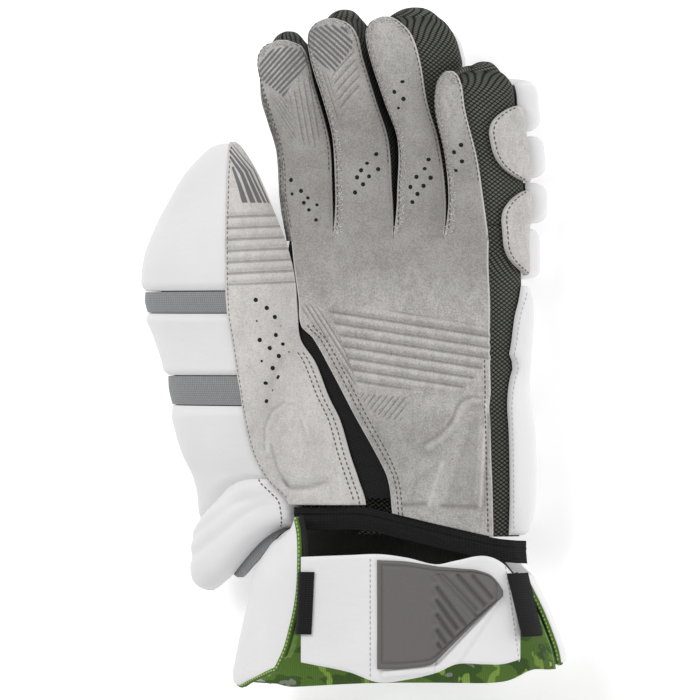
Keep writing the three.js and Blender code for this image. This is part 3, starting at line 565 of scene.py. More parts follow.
def stripe_marks(name, px, py):
    """Distance in mm into the nearest printed stripe of a fingertip, below 0 between the stripes."""
    if name not in TIP_PRINTS:
        return np.full(np.shape(px), -2.0)
    facts = TIP_PRINTS[name]
    turn = math.radians(facts["rise"])
    right, up = (px - facts["from"][0]) * PIXEL, (facts["from"][1] - py) * PIXEL
    along = right * math.cos(turn) + up * math.sin(turn)
    across = up * math.cos(turn) - right * math.sin(turn)
    phase = (across - facts["bow"] * along ** 2) / STRIPE_PITCH
    lines = STRIPE_WIDTH / 2 - np.abs(phase - np.round(phase)) * STRIPE_PITCH
    return np.minimum(lines, inside(px, py, facts["area"]))


def grid_faces(rows, columns, first=0):
    """The four-cornered faces of a grid of points."""
    corner = first + np.arange(rows - 1)[:, None] * columns + np.arange(columns - 1)
    corner = corner.reshape(-1)
    return np.stack([corner, corner + 1, corner + columns + 1, corner + columns], axis=-1)


def volume_of(points, faces):
    """Signed volume of a closed mesh: the sum of its triangles' pyramids to the origin."""
    corners = points[faces]
    first, second, third, fourth = (corners[:, place] for place in range(4))
    triangle = np.einsum("ij,ij->i", first, np.cross(second, third) + np.cross(third, fourth))
    return triangle.sum() / 6


CREASE_ANGLE = 40


def write_marks(mesh, marks):
    """Stores each mark's values at the mesh's points."""
    for mark, values in marks.items():
        attribute = mesh.attributes.new(mark, "FLOAT", "POINT")
        attribute.data.foreach_set("value", values.astype(np.float32))


def place_piece(name, mesh, look, nodes=()):
    """Puts a mesh into the scene as a smooth piece that rides on the glove and replaces its solids."""
    mesh.shade_smooth()
    mesh.materials.append(look)
    piece = bpy.data.objects.new(name, mesh)
    bpy.context.scene.collection.objects.link(piece)
    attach(piece, "root")
    if nodes:
        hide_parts(*nodes)
    return piece


def make_piece(name, points, faces, look, nodes, cloth, marks):
    """A piece from points in mm and four-cornered faces, turned outward, with its cloth's own map."""
    mesh = bpy.data.meshes.new(name)
    if volume_of(points, faces) < 0:
        faces = faces[:, ::-1]
    mesh.from_pydata((points / 1000).tolist(), [], faces.tolist())
    layer = mesh.uv_layers.new(name="cloth")
    layer.data.foreach_set("uv", cloth[faces.reshape(-1)].astype(np.float32).reshape(-1))
    write_marks(mesh, marks or {})
    piece = place_piece(name, mesh, look, nodes)
    mesh.set_sharp_from_angle(angle=math.radians(CREASE_ANGLE))
    return piece


def closed_grid(upper, lower):
    """Points and faces of the body between two grids of points, with walls that join their borders."""
    rows, columns = upper.shape[:2]
    count = rows * columns
    faces = grid_faces(rows, columns)
    top, bottom = np.arange(columns), (rows - 1) * columns + np.arange(columns)
    left, right = np.arange(rows) * columns, np.arange(rows) * columns + columns - 1
    loop = np.concatenate([top, right[1:], bottom[::-1][1:], left[::-1][1:]])
    walls = np.stack([loop[:-1], loop[1:], loop[1:] + count, loop[:-1] + count], axis=-1)
    points = np.concatenate([upper.reshape(-1, 3), lower.reshape(-1, 3)])
    return points, np.concatenate([faces[:, ::-1], faces + count, walls])


def sheet_size(points):
    """Flat width, length and area in metres of a grid of points in mm, from its own edge lengths."""
    across = np.linalg.norm(np.diff(points, axis=1), axis=-1)
    down = np.linalg.norm(np.diff(points, axis=0), axis=-1)
    area = (across[:-1] * down[:, :-1]).sum() / 1e6
    return across.sum(axis=1).max() / 1000, down.sum(axis=0).max() / 1000, area


def suede_sheet(name, grids, look, nodes, marks, area):
    """Some grids of points sewn into one suede sheet where their points meet, with a wall below it."""
    mesh_points = np.concatenate([grid.reshape(-1, 3) for grid in grids])
    starts = np.cumsum([0] + [grid.shape[0] * grid.shape[1] for grid in grids[:-1]])
    faces = [grid_faces(*grid.shape[:2], first) for grid, first in zip(grids, starts)]
    mesh = bpy.data.meshes.new(name)
    mesh.from_pydata((mesh_points / 1000).tolist(), [], np.concatenate(faces).tolist())
    write_marks(mesh, marks)
    shaped = bmesh.new()
    shaped.from_mesh(mesh)
    bmesh.ops.remove_doubles(shaped, verts=shaped.verts, dist=1e-5)
    bmesh.ops.recalc_face_normals(shaped, faces=shaped.faces)
    if sum(face.normal.z for face in shaped.faces) < 0:
        bmesh.ops.reverse_faces(shaped, faces=shaped.faces)
    shaped.to_mesh(mesh)
    shaped.free()
    piece = place_piece(name, mesh, look, nodes)
    wall = piece.modifiers.new("wall", "SOLIDIFY")
    wall.thickness, wall.offset = SUEDE / 1000, -1


# Colours of the painted highlight and the painted shade over the suede's pressed shapes.
PAINTED_HIGHLIGHT_TONE, PAINTED_SHADE_TONE = tone(224, 221, 218), tone(128, 125, 122)
BORDER_TONE, PRINT_TONE, FOLD_TONE = tone(136, 133, 130), tone(104, 105, 107), tone(222, 219, 216)


def suede_finish(name, light, dark, marked=True):
    """Napped suede of two near tones in cloudy and fine noise. Where its mesh carries the marks, painted shade
    darkens it in places, a painted highlight and shade lie over its pressed shapes, the sewn borders and prints
    are toned and the pressed grooves are shaded."""
    look = Look(name, roughness=0.95, sheen_weight=0.1, specular_ior_level=0.15)
    cloud, grain = look.noise(42, 4, 0.65), look.noise(1250, 2, 0.8)
    nap = look.noise(230, 4, 0.75, look.point((1, 0.6, 1)))
    shade = cloud * 0.35 + grain * 0.8 + nap * 0.5 - 0.325
    height = grain * 0.35 + nap * 0.25
    surface = look.blend(shade.above(0.5, 0.4), dark, light)
    rough = 0.95
    if marked:
        groove = ((look.mark("groove") * 2 * math.pi + math.pi / 2).wave() - 0.05 * grain).above(0.8, 0.36)
        groove = groove * look.mark("pressed").above(0.6, 1.2)
        # Painted shade: one mark darkens the suede toward a dark colour near the finger roots, the thumb's
        # crease and the strips' right sides.
        painted_shade = look.mark("nap") * (0.7 + nap * 0.6)
        border, printed = look.mark("border").above(0, 0.5), look.mark("print").above(0, 0.25)
        specks = look.noise(1600, 1, 0.5).above(0.56, 0.08)
        surface = look.blend(painted_shade * 0.75, surface, tone(104, 101, 98))
        surface = look.blend(border * 0.75, surface, look.blend(specks * 0.75, BORDER_TONE, FOLD_TONE))
        surface = look.blend(look.mark("fold").above(0, 0.5) * 0.7, surface, FOLD_TONE)
        # Painted highlight where this mark is above 0 and painted shade where it is below 0, over pressed ribs,
        # arches and lobes.
        rubbed = look.mark("rub")
        surface = look.blend(rubbed.maths("MAXIMUM", rubbed, 0) * 0.5, surface, PAINTED_HIGHLIGHT_TONE)
        surface = look.blend(rubbed.maths("MAXIMUM", rubbed * -1, 0) * 0.7, surface, PAINTED_SHADE_TONE)
        surface = look.blend(groove * 0.5, surface, tone(112, 108, 104))
        surface = look.blend(printed * 0.92, surface, PRINT_TONE)
        height = height - groove * 0.9
        rough = 0.95 - printed * 0.25
    look.wear(base_color=surface, normal=look.relief(height, 0.0004, 0.7), roughness=rough)
    return look


# The palm's suede has darker tones than the thumb's: this is painted shade on the same suede.
PALM_LIGHT, PALM_DARK = tone(208, 205, 202), tone(160, 157, 154)
suede_look = suede_finish("palm_suede_nap", PALM_LIGHT, PALM_DARK)

# Painted shade: an area of the palm with shade painted round it, and how much painted shade darkens each finger
# strip toward its right side, away from the key lamp.
PALM_SHADE_AREA = [(372, 418), (404, 424), (428, 440), (412, 452), (386, 442)]
SHADED_SIDE = {"index": 0.1, "middle": 0.12, "ring": 0.22, "pinky": 0.05}
PALM_COLUMNS, PALM_ROWS, STRIP_ROWS = 34, 170, 130
FOLD_WIDTH = 0.6
UNMARKED, FAR_FROM_EDGE = -3.0, 9.0
palm_grids = []
palm_marks = {mark: [] for mark in ("border", "print", "groove", "pressed", "nap", "fold", "rub")}


def keep_marks(marks, **values):
    """Adds one grid's values to each list of marks."""
    for mark, value in values.items():
        marks[mark].append(np.broadcast_to(value, values["groove"].shape).reshape(-1))


for name, finger in FINGERS.items():
    u, along = net(PALM_COLUMNS, PALM_ROWS)
    grid = palm_point(mix(*finger.share, u), along)
    px, py = pixel_of(grid)
    groove, pressed = groove_marks("palm", px, py)
    grid[..., 2] += palm_relief(px, py)
    palm_grids.append(grid)
    # Painted shade of the palm: darker near the finger roots and round one area of its lower half. Its ribs and
    # heel also get a painted highlight and shade.
    palm_painted_shade = 0.16 + 0.42 * (1 - smooth(along, 0, 0.3)) + 0.25 * bell(inside(px, py, PALM_SHADE_AREA), 12)
    sides = {"index": u * HAND_WIDTH / 4, "pinky": (1 - u) * HAND_WIDTH / 4}
    keep_marks(palm_marks, border=UNMARKED, print=UNMARKED, groove=groove, pressed=pressed, nap=palm_painted_shade,
               rub=palm_rub(px, py), fold=FOLD_WIDTH - sides.get(name, FAR_FROM_EDGE))
    u, along = np.meshgrid(np.linspace(0, 1, PALM_COLUMNS + 1), np.linspace(0, 1, STRIP_ROWS + 1) ** 0.9)
    grid = strip_point(finger, u, along)
    px, py = pixel_of(grid)
    s = finger.shape(along)
    from_left, from_right = u * (s.right - s.left) * HAND_WIDTH, (1 - u) * (s.right - s.left) * HAND_WIDTH
    own_relief = strip_relief(name, px, py, from_left, from_right, along, finger.length)
    grid[..., 2] += mix(palm_relief(px, py), 0, smooth(along, 0, 0.2)) + own_relief
    palm_grids.append(grid)
    groove, pressed = groove_marks(name, px, py)
    border = BORDER - border_depth(name, from_left, from_right, along, finger.length)
    fold = FOLD_WIDTH - np.minimum(np.minimum(from_left, from_right), (1 - along) * finger.length * 2)
    # Painted shade of a strip: dark from its root past its joint, lighter toward the tip, darker toward its
    # right side. Its tip ribs get half their painted highlight and shade.
    strip_painted_shade = 0.58 - 0.4 * smooth(along, 0.45, 0.95) + SHADED_SIDE[name] * smooth(u, 0.35, 1)
    keep_marks(palm_marks, border=border, print=stripe_marks(name, px, py), groove=groove, pressed=pressed,
               nap=strip_painted_shade, fold=fold - 2 * (1 - smooth(along, 0, 0.03)), rub=0.5 * groove_rub(name, px, py))
palm_area = sum(sheet_size(grid)[2] for grid in palm_grids)
suede_sheet(
    "palm_suede", palm_grids, suede_look.material, ["palm_panel"],
    {mark: np.concatenate(values) for mark, values in palm_marks.items()},
    palm_area)

# Punched holes and seams of the palm. Each hole is a flat dark button, almost level with the suede,
# and each stitch is one short rounded bead of grey thread, laid on the leather at an even pitch.
HOLE_RADIUS = 1.1
PALM_HOLES = [
    (291, 180), (292, 194), (301, 191), (308, 198), (304, 203), (309, 210), (317, 205), (316, 220),
    (376, 155), (367, 164), (361, 171), (378, 170), (357, 178), (369, 177), (363, 185), (355, 193),
    (402, 84), (394, 94), (403, 101), (398, 110), (428, 161), (424, 170), (416, 178), (430, 179),
    (410, 188), (423, 187), (417, 195), (412, 203), (460, 147), (453, 154), (461, 163), (455, 172),
]
THREAD_TONE, PALE_THREAD_TONE, HOLE_TONE = tone(78, 76, 73), tone(196, 196, 199), tone(26, 26, 26)


def plain_look(name, colour, second, scale, **fixed):
    """A finish of two near colours in fine noise, as thread and dyed edges have."""
    look = Look(name, base_color=colour, **fixed)
    grain = look.noise(scale, 3)
    return look.wear(base_color=look.blend(grain, colour, second), normal=look.relief(grain, 0.0002, 0.4))


thread_look = plain_look("grey_thread", THREAD_TONE, tone(104, 102, 98), 2500, roughness=0.8)
pale_thread_look = plain_look("white_thread", PALE_THREAD_TONE, tone(188, 188, 190), 2500, roughness=0.7)
hole_look = plain_look("hole_shadow", HOLE_TONE, tone(16, 16, 16), 900, roughness=1.0)


def grid_normals(grid):
    """Upward directions of a grid of points: the cross product of its row and column steps."""
    normal = np.cross(np.gradient(grid, axis=1), np.gradient(grid, axis=0))
    normal /= np.linalg.norm(normal, axis=-1, keepdims=True) + 1e-12
    return normal * np.where(normal[..., 2:] < 0, -1, 1)


def on_grids(grids, pixels):
    """Points in mm on some grids that pixels show, with their normals: each pixel's sight line to its
    nearest grid point's height."""
    points = np.concatenate([grid.reshape(-1, 3) for grid in grids])
    normals = np.concatenate([grid_normals(grid).reshape(-1, 3) for grid in grids])
    seen_x, seen_y = pixel_of(points)
    pixels = np.array(pixels, float)
    gap = (seen_x - pixels[:, :1]) ** 2 + (seen_y - pixels[:, 1:]) ** 2
    nearest = gap.argmin(axis=1)
    x, y = at_pixel(pixels[:, 0], pixels[:, 1], points[nearest, 2])
    return np.stack([x, y, points[nearest, 2]], axis=-1), normals[nearest]


def frames_of(points, normals):
    """Directions along a path of points, across it and off its surface."""
    along = np.gradient(points, axis=0)
    along /= np.linalg.norm(along, axis=-1, keepdims=True) + 1e-12
    across = np.cross(normals, along)
    across /= np.linalg.norm(across, axis=-1, keepdims=True) + 1e-12
    return along, across, np.cross(along, across)


def beads(centres, along, across, off, size, rings=5, sides=6):
    """Small closed beads: an ellipsoid of the given half sizes at each centre, on its own directions."""
    lift = np.linspace(-1, 1, rings)
    turn = np.linspace(0, 2 * np.pi, sides, endpoint=False)
    radius = np.sqrt(np.maximum(1 - (0.96 * lift) ** 2, 0.02))
    a = np.repeat(lift, sides) * size[0]
    b = (radius[:, None] * np.cos(turn)).reshape(-1) * size[1]
    c = (radius[:, None] * np.sin(turn)).reshape(-1) * size[2]
    a = np.concatenate([a, [-size[0] * 1.06, size[0] * 1.06]])
    b, c = np.concatenate([b, [0, 0]]), np.concatenate([c, [0, 0]])
    points = (
        centres[:, None]
        + a[:, None] * along[:, None]
        + b[:, None] * across[:, None]
        + c[:, None] * off[:, None]
    )
    ring, side = np.meshgrid(np.arange(rings - 1), np.arange(sides), indexing="ij")
    ring, side = ring.reshape(-1), side.reshape(-1)
    following = (side + 1) % sides
    quads = np.stack([ring * sides + side, ring * sides + following,
                      (ring + 1) * sides + following, (ring + 1) * sides + side], axis=-1)
    side, following = np.arange(sides), (np.arange(sides) + 1) % sides
    first, last = rings * sides, rings * sides + 1
    top = (rings - 1) * sides
    ends = np.concatenate([
        np.stack([np.full(sides, first), following, side], axis=-1),
        np.stack([np.full(sides, last), top + side, top + following], axis=-1),
    ])
    starts = np.arange(len(centres)) * len(a)
    quads = (quads[None] + starts[:, None, None]).reshape(-1, 4)
    ends = (ends[None] + starts[:, None, None]).reshape(-1, 3)
    return points.reshape(-1, 3), [*quads.tolist(), *ends.tolist()]


def bead_piece(name, parts, look):
    """One mesh of many beads, which rides on the glove."""
    points, faces = np.zeros((0, 3)), []
    for new_points, new_faces in parts:
        faces += [[corner + len(points) for corner in face] for face in new_faces]
        points = np.concatenate([points, new_points])
    mesh = bpy.data.meshes.new(name)
    mesh.from_pydata((points / 1000).tolist(), [], faces)
    shaped = bmesh.new()
    shaped.from_mesh(mesh)
    bmesh.ops.recalc_face_normals(shaped, faces=shaped.faces)
    shaped.to_mesh(mesh)
    shaped.free()
    mesh.shade_smooth()
    mesh.materials.append(look)
    piece = bpy.data.objects.new(name, mesh)
    bpy.context.scene.collection.objects.link(piece)
    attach(piece, "root")
    return piece


STITCH_PITCH, STITCH_SIZE = 2.5, (0.85, 0.34, 0.28)


def stitch_run(points, normals, pitch=STITCH_PITCH, size=STITCH_SIZE, lift=0.08):
    """Beads at an even pitch along a path of points on a surface."""
    run = np.concatenate([[0], np.cumsum(np.linalg.norm(np.diff(points, axis=0), axis=-1))])
    places = np.arange(pitch / 2, run[-1], pitch)
    at = np.stack([np.interp(places, run, points[:, axis]) for axis in range(3)], axis=-1)
    off = np.stack([np.interp(places, run, normals[:, axis]) for axis in range(3)], axis=-1)
    if len(at) < 2:
        return np.zeros((0, 3)), []
    along, across, off = frames_of(at, off)
    return beads(at + off * lift, along, across, off, size)


def hole_parts(grids, pixels, radius=HOLE_RADIUS):
    """Flat dark buttons, almost level with the suede, one for each punched hole."""
    centres, off = on_grids(grids, pixels)
    along = np.cross(off, [1.0, 0.0, 0.0])
    along /= np.linalg.norm(along, axis=-1, keepdims=True)
    return beads(centres, off, along, np.cross(off, along), (0.12, radius, radius), 3, 12)


def edge_path(grid, offset, rows, from_right=False):
    """Points at a distance in mm inside the left or right edge of a grid of rows, with their normals."""
    normal = grid_normals(grid)
    paths = []
    for values in (grid, normal):
        picked = values[rows][:, ::-1] if from_right else values[rows]
        paths.append(picked)
    run = np.concatenate([
        np.zeros((len(paths[0]), 1)),
        np.cumsum(np.linalg.norm(np.diff(paths[0], axis=1), axis=-1), axis=1),
    ], axis=1)
    reach = np.minimum(offset, run[:, -1] / 2)
    found = []
    for values in paths:
        found.append(np.stack([
            [np.interp(far, row, line) for far, row, line in zip(reach, run, values[..., axis])]
            for axis in range(3)
        ], axis=-1))
    return found


TIP_ROWS = slice(112, 128)
bead_piece("palm_holes", [hole_parts(palm_grids, PALM_HOLES)], hole_look)
palm_stitches = []
for name, strip in zip(FINGERS, palm_grids[1::2]):
    left_rows = slice(6, TIP_ROWS.stop)
    left_line = edge_path(strip, BORDER / 2 if name != "index" else 1.4, left_rows)
    tip_line = edge_path(strip, 1.8, TIP_ROWS, True)
    palm_stitches.append(stitch_run(*(np.concatenate([a, b[::-1]]) for a, b in zip(left_line, tip_line))))
    palm_stitches.append(stitch_run(*edge_path(strip, 1.5, slice(40, TIP_ROWS.start), True)))
GUSSET_ROWS = slice(48, PALM_ROWS)
for offset in (3.6, 6.4):
    palm_stitches.append(stitch_run(*edge_path(palm_grids[0], offset, GUSSET_ROWS)))
palm_stitches.append(stitch_run(*edge_path(palm_grids[-2], 2.4, slice(68, PALM_ROWS), True)))
bead_piece("palm_stitching", palm_stitches, thread_look)

# The thumb's suede runs from the thumb tip to the wrist between the ridge seam and the palm. Curved
# stripes are printed on its tip, ribs are pressed across it, and its ball carries a raised lobe.
THUMB_LENGTH, THUMB_TIP_Y, THUMB_TOP = 176, 101, 68
THUMB_SHELL_WIDTH, THUMB_BULGE = 58, 4
thumb_shape = table(("along", "ridge", "right", "ridge_top", "right_top", "reach", "wall", "bottom"), [
    (0.0, -0.862, -0.83, 0.86, 1.2, 0.02, -0.85, 0.8),
    (0.012, -0.86, -0.808, 0.88, 1.18, 0.2, -0.84, 0.66),
    (0.045, -0.858, -0.77, 0.92, 1.15, 0.37, -0.825, 0.5),
    (0.09, -0.858, -0.73, 0.95, 1.1, 0.53, -0.8, 0.38),
    (0.15, -0.857, -0.69, 0.97, 1.05, 0.68, -0.775, 0.28),
    (0.22, -0.855, -0.64, 0.99, 1.03, 0.83, -0.75, 0.2),
    (0.3, -0.855, -0.59, 1.0, 1.01, 0.95, -0.735, 0.14),
    (0.38, -0.855, -0.558, 1.0, 1.0, 1.0, -0.725, 0.1),
    (0.47, -0.845, -0.545, 1.0, 1.0, 1.0, -0.715, 0.08),
    (0.545, -0.824, -0.53, 0.99, 1.0, 0.94, -0.71, 0.07),
    (0.607, -0.808, -0.456, 0.985, 1.0, 0.9, -0.71, 0.07),
    (0.7, -0.782, -0.39, 0.97, 0.99, 0.9, -0.71, 0.07),
    (0.767, -0.768, -0.332, 0.955, 0.98, 0.88, -0.71, 0.07),
    (0.864, -0.735, -0.284, 0.9, 0.95, 0.85, -0.71, 0.07),
    (0.93, -0.68, -0.246, 0.84, 0.93, 0.86, -0.7, 0.07),
    (1.0, -0.58, -0.21, 0.78, 0.92, 1.0, -0.69, 0.07),
    (1.25, -0.58, -0.21, 0.78, 0.92, 1.0, -0.69, 0.07),
])


def thumb_edges(y):
    """The thumb's section at y, with its ridge seam and the right edge of its suede in mm."""
    s = thumb_shape((THUMB_TIP_Y - y) / THUMB_LENGTH)
    palm_side = palm_shape(np.clip((ROOT_Y - y) / PALM_LENGTH, 0, 1)).left * HAND_WIDTH - SEAM
    return s, s.ridge * HAND_WIDTH, np.minimum(s.right * HAND_WIDTH, np.where(y > ROOT_Y, np.inf, palm_side))


def thumb_panel_point(u, v):
    """The thumb's suede: across it by u from the ridge, down it by v, falling to the palm in a low bow."""
    y = THUMB_TIP_Y - v ** 1.25 * THUMB_LENGTH
    s, ridge_x, right = thumb_edges(y)
    bulge = THUMB_BULGE * np.sin(np.pi * u) * smooth(v, 0, 0.25)
    top = mix(s.ridge_top * THUMB_TOP, s.right_top * PALM_TOP, u)
    return stack(mix(ridge_x + SEAM, right, u), y, top + bulge)


THUMB_LOBE = [(268, 452), (268, 430), (275, 413), (287, 405), (297, 408), (304, 420), (310, 438)]
THUMB_LOBE_INNER = [(277, 436), (282, 423), (290, 418)]
THUMB_PINCH = [(283, 481), (290, 488), (308, 487), (325, 482)]
THUMB_CREASE = [(284, 360), (275, 380), (268, 408)]
THUMB_STRIPES = [
    (5.6, [(233, 168), (239, 184), (245, 203)]),
    (5.2, [(231, 158), (242, 174), (253, 203)]),
    (4.2, [(230, 151), (246, 171), (260, 203)]),
    (2.6, [(231, 147), (250, 171), (265, 203)]),
    (1.6, [(233, 145), (254, 170), (268.5, 203)]),
]
THUMB_STRIPES_END = 203
THUMB_HOLES = [
    (256, 300), (267, 308), (275, 317), (281, 326), (287, 334), (257, 321), (267, 327), (276, 335),
    (283, 344), (289, 352), (260, 340), (270, 348), (279, 356), (262, 361), (273, 368), (278, 377),
    (266, 383), (273, 390),
    (267, 401),
]


def thumb_relief(px, py, u):
    """Height in mm of the thumb's pressed ribs, raised lobe, crease and turned edges."""
    height = 0.8 * swirl(px, py, 120, 9) + groove_waves("thumb", px, py)
    height += 1.3 * bell(near_line(px, py, THUMB_LOBE)[0], 2.4)
    height += 0.7 * bell(near_line(px, py, THUMB_LOBE_INNER)[0], 2.0)
    height -= 1.2 * bell(near_line(px, py, THUMB_PINCH)[0], 2.2)
    height -= 1.4 * bell(near_line(px, py, THUMB_CREASE)[0], 1.8)
    return height * smooth(u, 0, 0.04) * smooth(1 - u, 0, 0.04) - 0.6 * bell(np.minimum(u, 1 - u), 0.02)


THUMB_LOBE_SIDE = [(271, 444), (277, 468), (287, 486)]


def thumb_rub(px, py):
    """Painted light from -1 to 1 of the thumb: a highlight on the lobe, shade round it and in the pinch below.
    """
    rub = 0.7 * groove_rub("thumb", px, py) - 0.6 * bell(near_line(px + 2.5, py + 2.5, THUMB_LOBE)[0], 0.9)
    rub += 0.5 * bell(near_line(px, py, THUMB_LOBE)[0], 1.2)
    rub -= 0.7 * bell(near_line(px, py, THUMB_PINCH)[0], 1.0)
    return rub - 0.55 * bell(near_line(px, py, THUMB_LOBE_SIDE)[0], 0.8)


THUMB_COLUMNS, THUMB_ROWS = 90, 220
u, v = net(THUMB_COLUMNS, THUMB_ROWS)
thumb_grid = thumb_panel_point(u, v)
px, py = pixel_of(thumb_grid)
thumb_print = np.full(u.shape, -3.0)
for width, line in THUMB_STRIPES:
    distance, share = near_line(px, py, line)
    thumb_print = np.maximum(thumb_print, width * PIXEL / 2 * mix(0.45, 1, share) - distance)
thumb_print = np.minimum(thumb_print, (THUMB_STRIPES_END - py) * PIXEL)
thumb_grid[..., 2] += thumb_relief(px, py, u)
thumb_width, thumb_length, thumb_area = sheet_size(thumb_grid)
groove, pressed = groove_marks("thumb", px, py)
thumb_fold = FOLD_WIDTH - (1 - u) * 30
# Painted shade of the thumb: a little all over and more round its crease. Its ribs and lobe also get a painted
# highlight and shade.
thumb_painted_shade = (0.04 + 0.2 * bell(near_line(px, py, THUMB_CREASE)[0], 9)).reshape(-1)
thumb_look = suede_finish("thumb_suede_nap", tone(219, 216, 213), tone(190, 187, 184))
suede_sheet(
    "thumb_suede", [thumb_grid], thumb_look.material, ["thumb_panel"],
    {"border": np.full(thumb_print.size, UNMARKED), "print": thumb_print.reshape(-1),
     "groove": groove.reshape(-1),
     "pressed": pressed.reshape(-1), "nap": thumb_painted_shade, "fold": thumb_fold.reshape(-1),
     "rub": thumb_rub(px, py).reshape(-1)},
    thumb_area)
bead_piece("thumb_holes", [hole_parts([thumb_grid], THUMB_HOLES)], hole_look)
thumb_stitches = [
    stitch_run(*edge_path(thumb_grid, offset, slice(142, THUMB_ROWS), True)) for offset in (3.4, 6.2)
]
ridge_line = edge_path(thumb_grid, 1.3, slice(6, THUMB_ROWS - 2))
thumb_stitches.append(stitch_run(*ridge_line, size=(0.8, 0.2, 0.15)))
bead_piece("thumb_stitching", thumb_stitches, thread_look)

# Closed bodies on curved surfaces: the finger walls, liners, pads and shells below are all made as
# a cover at one distance off a surface and its underside at another, sewn round the rim.
PAD_GAP, PAD_EDGE, SHELL, ELASTIC, LINING = 1, 1.4, 1.6, 1.6, 2
STEP = 0.002


def directions_off(surface, t, y):
    """Outward directions of a surface: the cross product of its two small steps."""
    across = surface(t + STEP, y) - surface(t - STEP, y)
    along = surface(t, y + STEP) - surface(t, y - STEP)
    off = np.cross(along, across)
    return off / (np.linalg.norm(off, axis=-1, keepdims=True) + 1e-15)


def cover_grids(surface, place, low, high, rows, columns, gather=0.0):
    """A surface's points moved off it by two distances. Columns lie evenly along each row's own length,
    and gather draws rows and columns toward the edges, where a pad bends most."""
    def drawn(count):
        share = np.linspace(0, 1, count + 1)
        return mix(share, 0.5 - 0.5 * np.cos(np.pi * share), gather)

    v = drawn(rows)
    fine_t, fine_y = place(*np.meshgrid(np.linspace(0, 1, 4 * columns + 1), v))
    steps = np.linalg.norm(np.diff(surface(fine_t, fine_y), axis=1), axis=-1)
    run = np.concatenate([np.zeros((rows + 1, 1)), np.cumsum(steps, axis=1)], axis=1)
    share = drawn(columns)
    t = np.array([np.interp(share * line[-1], line, row) for line, row in zip(run, fine_t)])
    y = np.array([np.interp(share * line[-1], line, row) for line, row in zip(run, fine_y)])
    u, v = np.meshgrid(share, v)
    base, off = surface(t, y), directions_off(surface, t, y)
    upper = base + off * np.broadcast_to(high(u, v, t, y), u.shape)[..., None]
    lower = base + off * np.broadcast_to(low(u, v, t, y), u.shape)[..., None]
    return upper, lower


def cloth_map(points):
    """Distances in metres along the threads: run along each row from its middle, and down each column."""
    across = np.cumsum(np.linalg.norm(np.diff(points, axis=1, prepend=points[:, :1]), axis=-1), axis=1)
    down = np.cumsum(np.linalg.norm(np.diff(points, axis=0, prepend=points[:1]), axis=-1), axis=0)
    across = across - across[:, points.shape[1] // 2:points.shape[1] // 2 + 1]
    return np.stack([across, down], axis=-1).reshape(-1, 2) / 1000


def cover(name, grids, look, nodes=(), marks=None):
    """A closed piece between two grids, with its cloth's own map."""
    upper, lower = grids
    points, faces = closed_grid(upper, lower)
    return make_piece(name, points, faces, look, nodes, np.tile(cloth_map(upper), (2, 1)), marks)


def woven(name, grids, look, nodes, marks=None):
    """A closed piece of cloth; its flat size along its own threads is measured but not used."""
    piece = cover(name, grids, look, nodes, marks)
    width, length, area = sheet_size((grids[0] + grids[1]) / 2)
    min(area, width * length)
    return piece


def hollow_section(t, left_rim, right_rim, left_top, right_top, left, right, bottom, square, shoulder=0.6):
    """Half of an open oval: t runs from the left rim at -1 down round the bottom to the right rim at 1,
    on the sine and cosine of a quarter turn each way, raised to a power that squares the corners."""
    turn = np.clip(t, -1, 1) * np.pi / 2
    across = np.sign(t) * np.abs(np.sin(turn)) ** (2 / square)
    depth = np.abs(np.cos(turn)) ** (2 / square)
    spread = np.sin(np.minimum(1, depth / shoulder) * np.pi / 2)
    left, right = mix(left_rim, left, spread), mix(right_rim, right, spread)
    rim = mix(left_top, right_top, (across + 1) / 2)
    return mix(left, right, (across + 1) / 2), mix(rim, bottom, depth)


# The black elastic between the thumb and the palm, a flat stretch strip tucked under both suedes.
elastic_look = Look("black_elastic", roughness=0.85, specular_ior_level=0.2)
thread_across, thread_along = elastic_look.along_cloth()
elastic_rib = thread_along.ribs(0.0011)
elastic_weft = thread_across.ribs(0.0016)
elastic_shade = elastic_rib * 0.6 + elastic_weft * 0.25 + elastic_look.noise(600) * 0.3
elastic_look.wear(
    base_color=elastic_look.blend(elastic_shade, tone(8, 8, 9), tone(38, 38, 39)),
    normal=elastic_look.relief(elastic_shade, 0.0003, 0.7))


def strip_surface(u, along):
    """The strip's own surface: between the two suede edges by u, from the crotch to the wrist by along."""
    palm_edge = palm_point(np.zeros_like(along), along)
    s, _, right = thumb_edges(palm_edge[..., 1])
    x = mix(right - UNDERLAP, palm_edge[..., 0] + UNDERLAP, u)
    z = mix(s.right_top * PALM_TOP, palm_edge[..., 2], u) - SUEDE - SEAM - 0.4 * np.sin(np.pi * u)
    return stack(x, palm_edge[..., 1], z)


u, v = net(16, 90, v_ends=(0.27, 0.93))
strip_top = strip_surface(u, v)
strip_top[..., 2] += 0.15 * np.sin(strip_top[..., 1] * 0.9)
woven("palm_elastic", (strip_top, strip_top - [0, 0, ELASTIC]), elastic_look.material,
      ["palm_gusset_strip"])

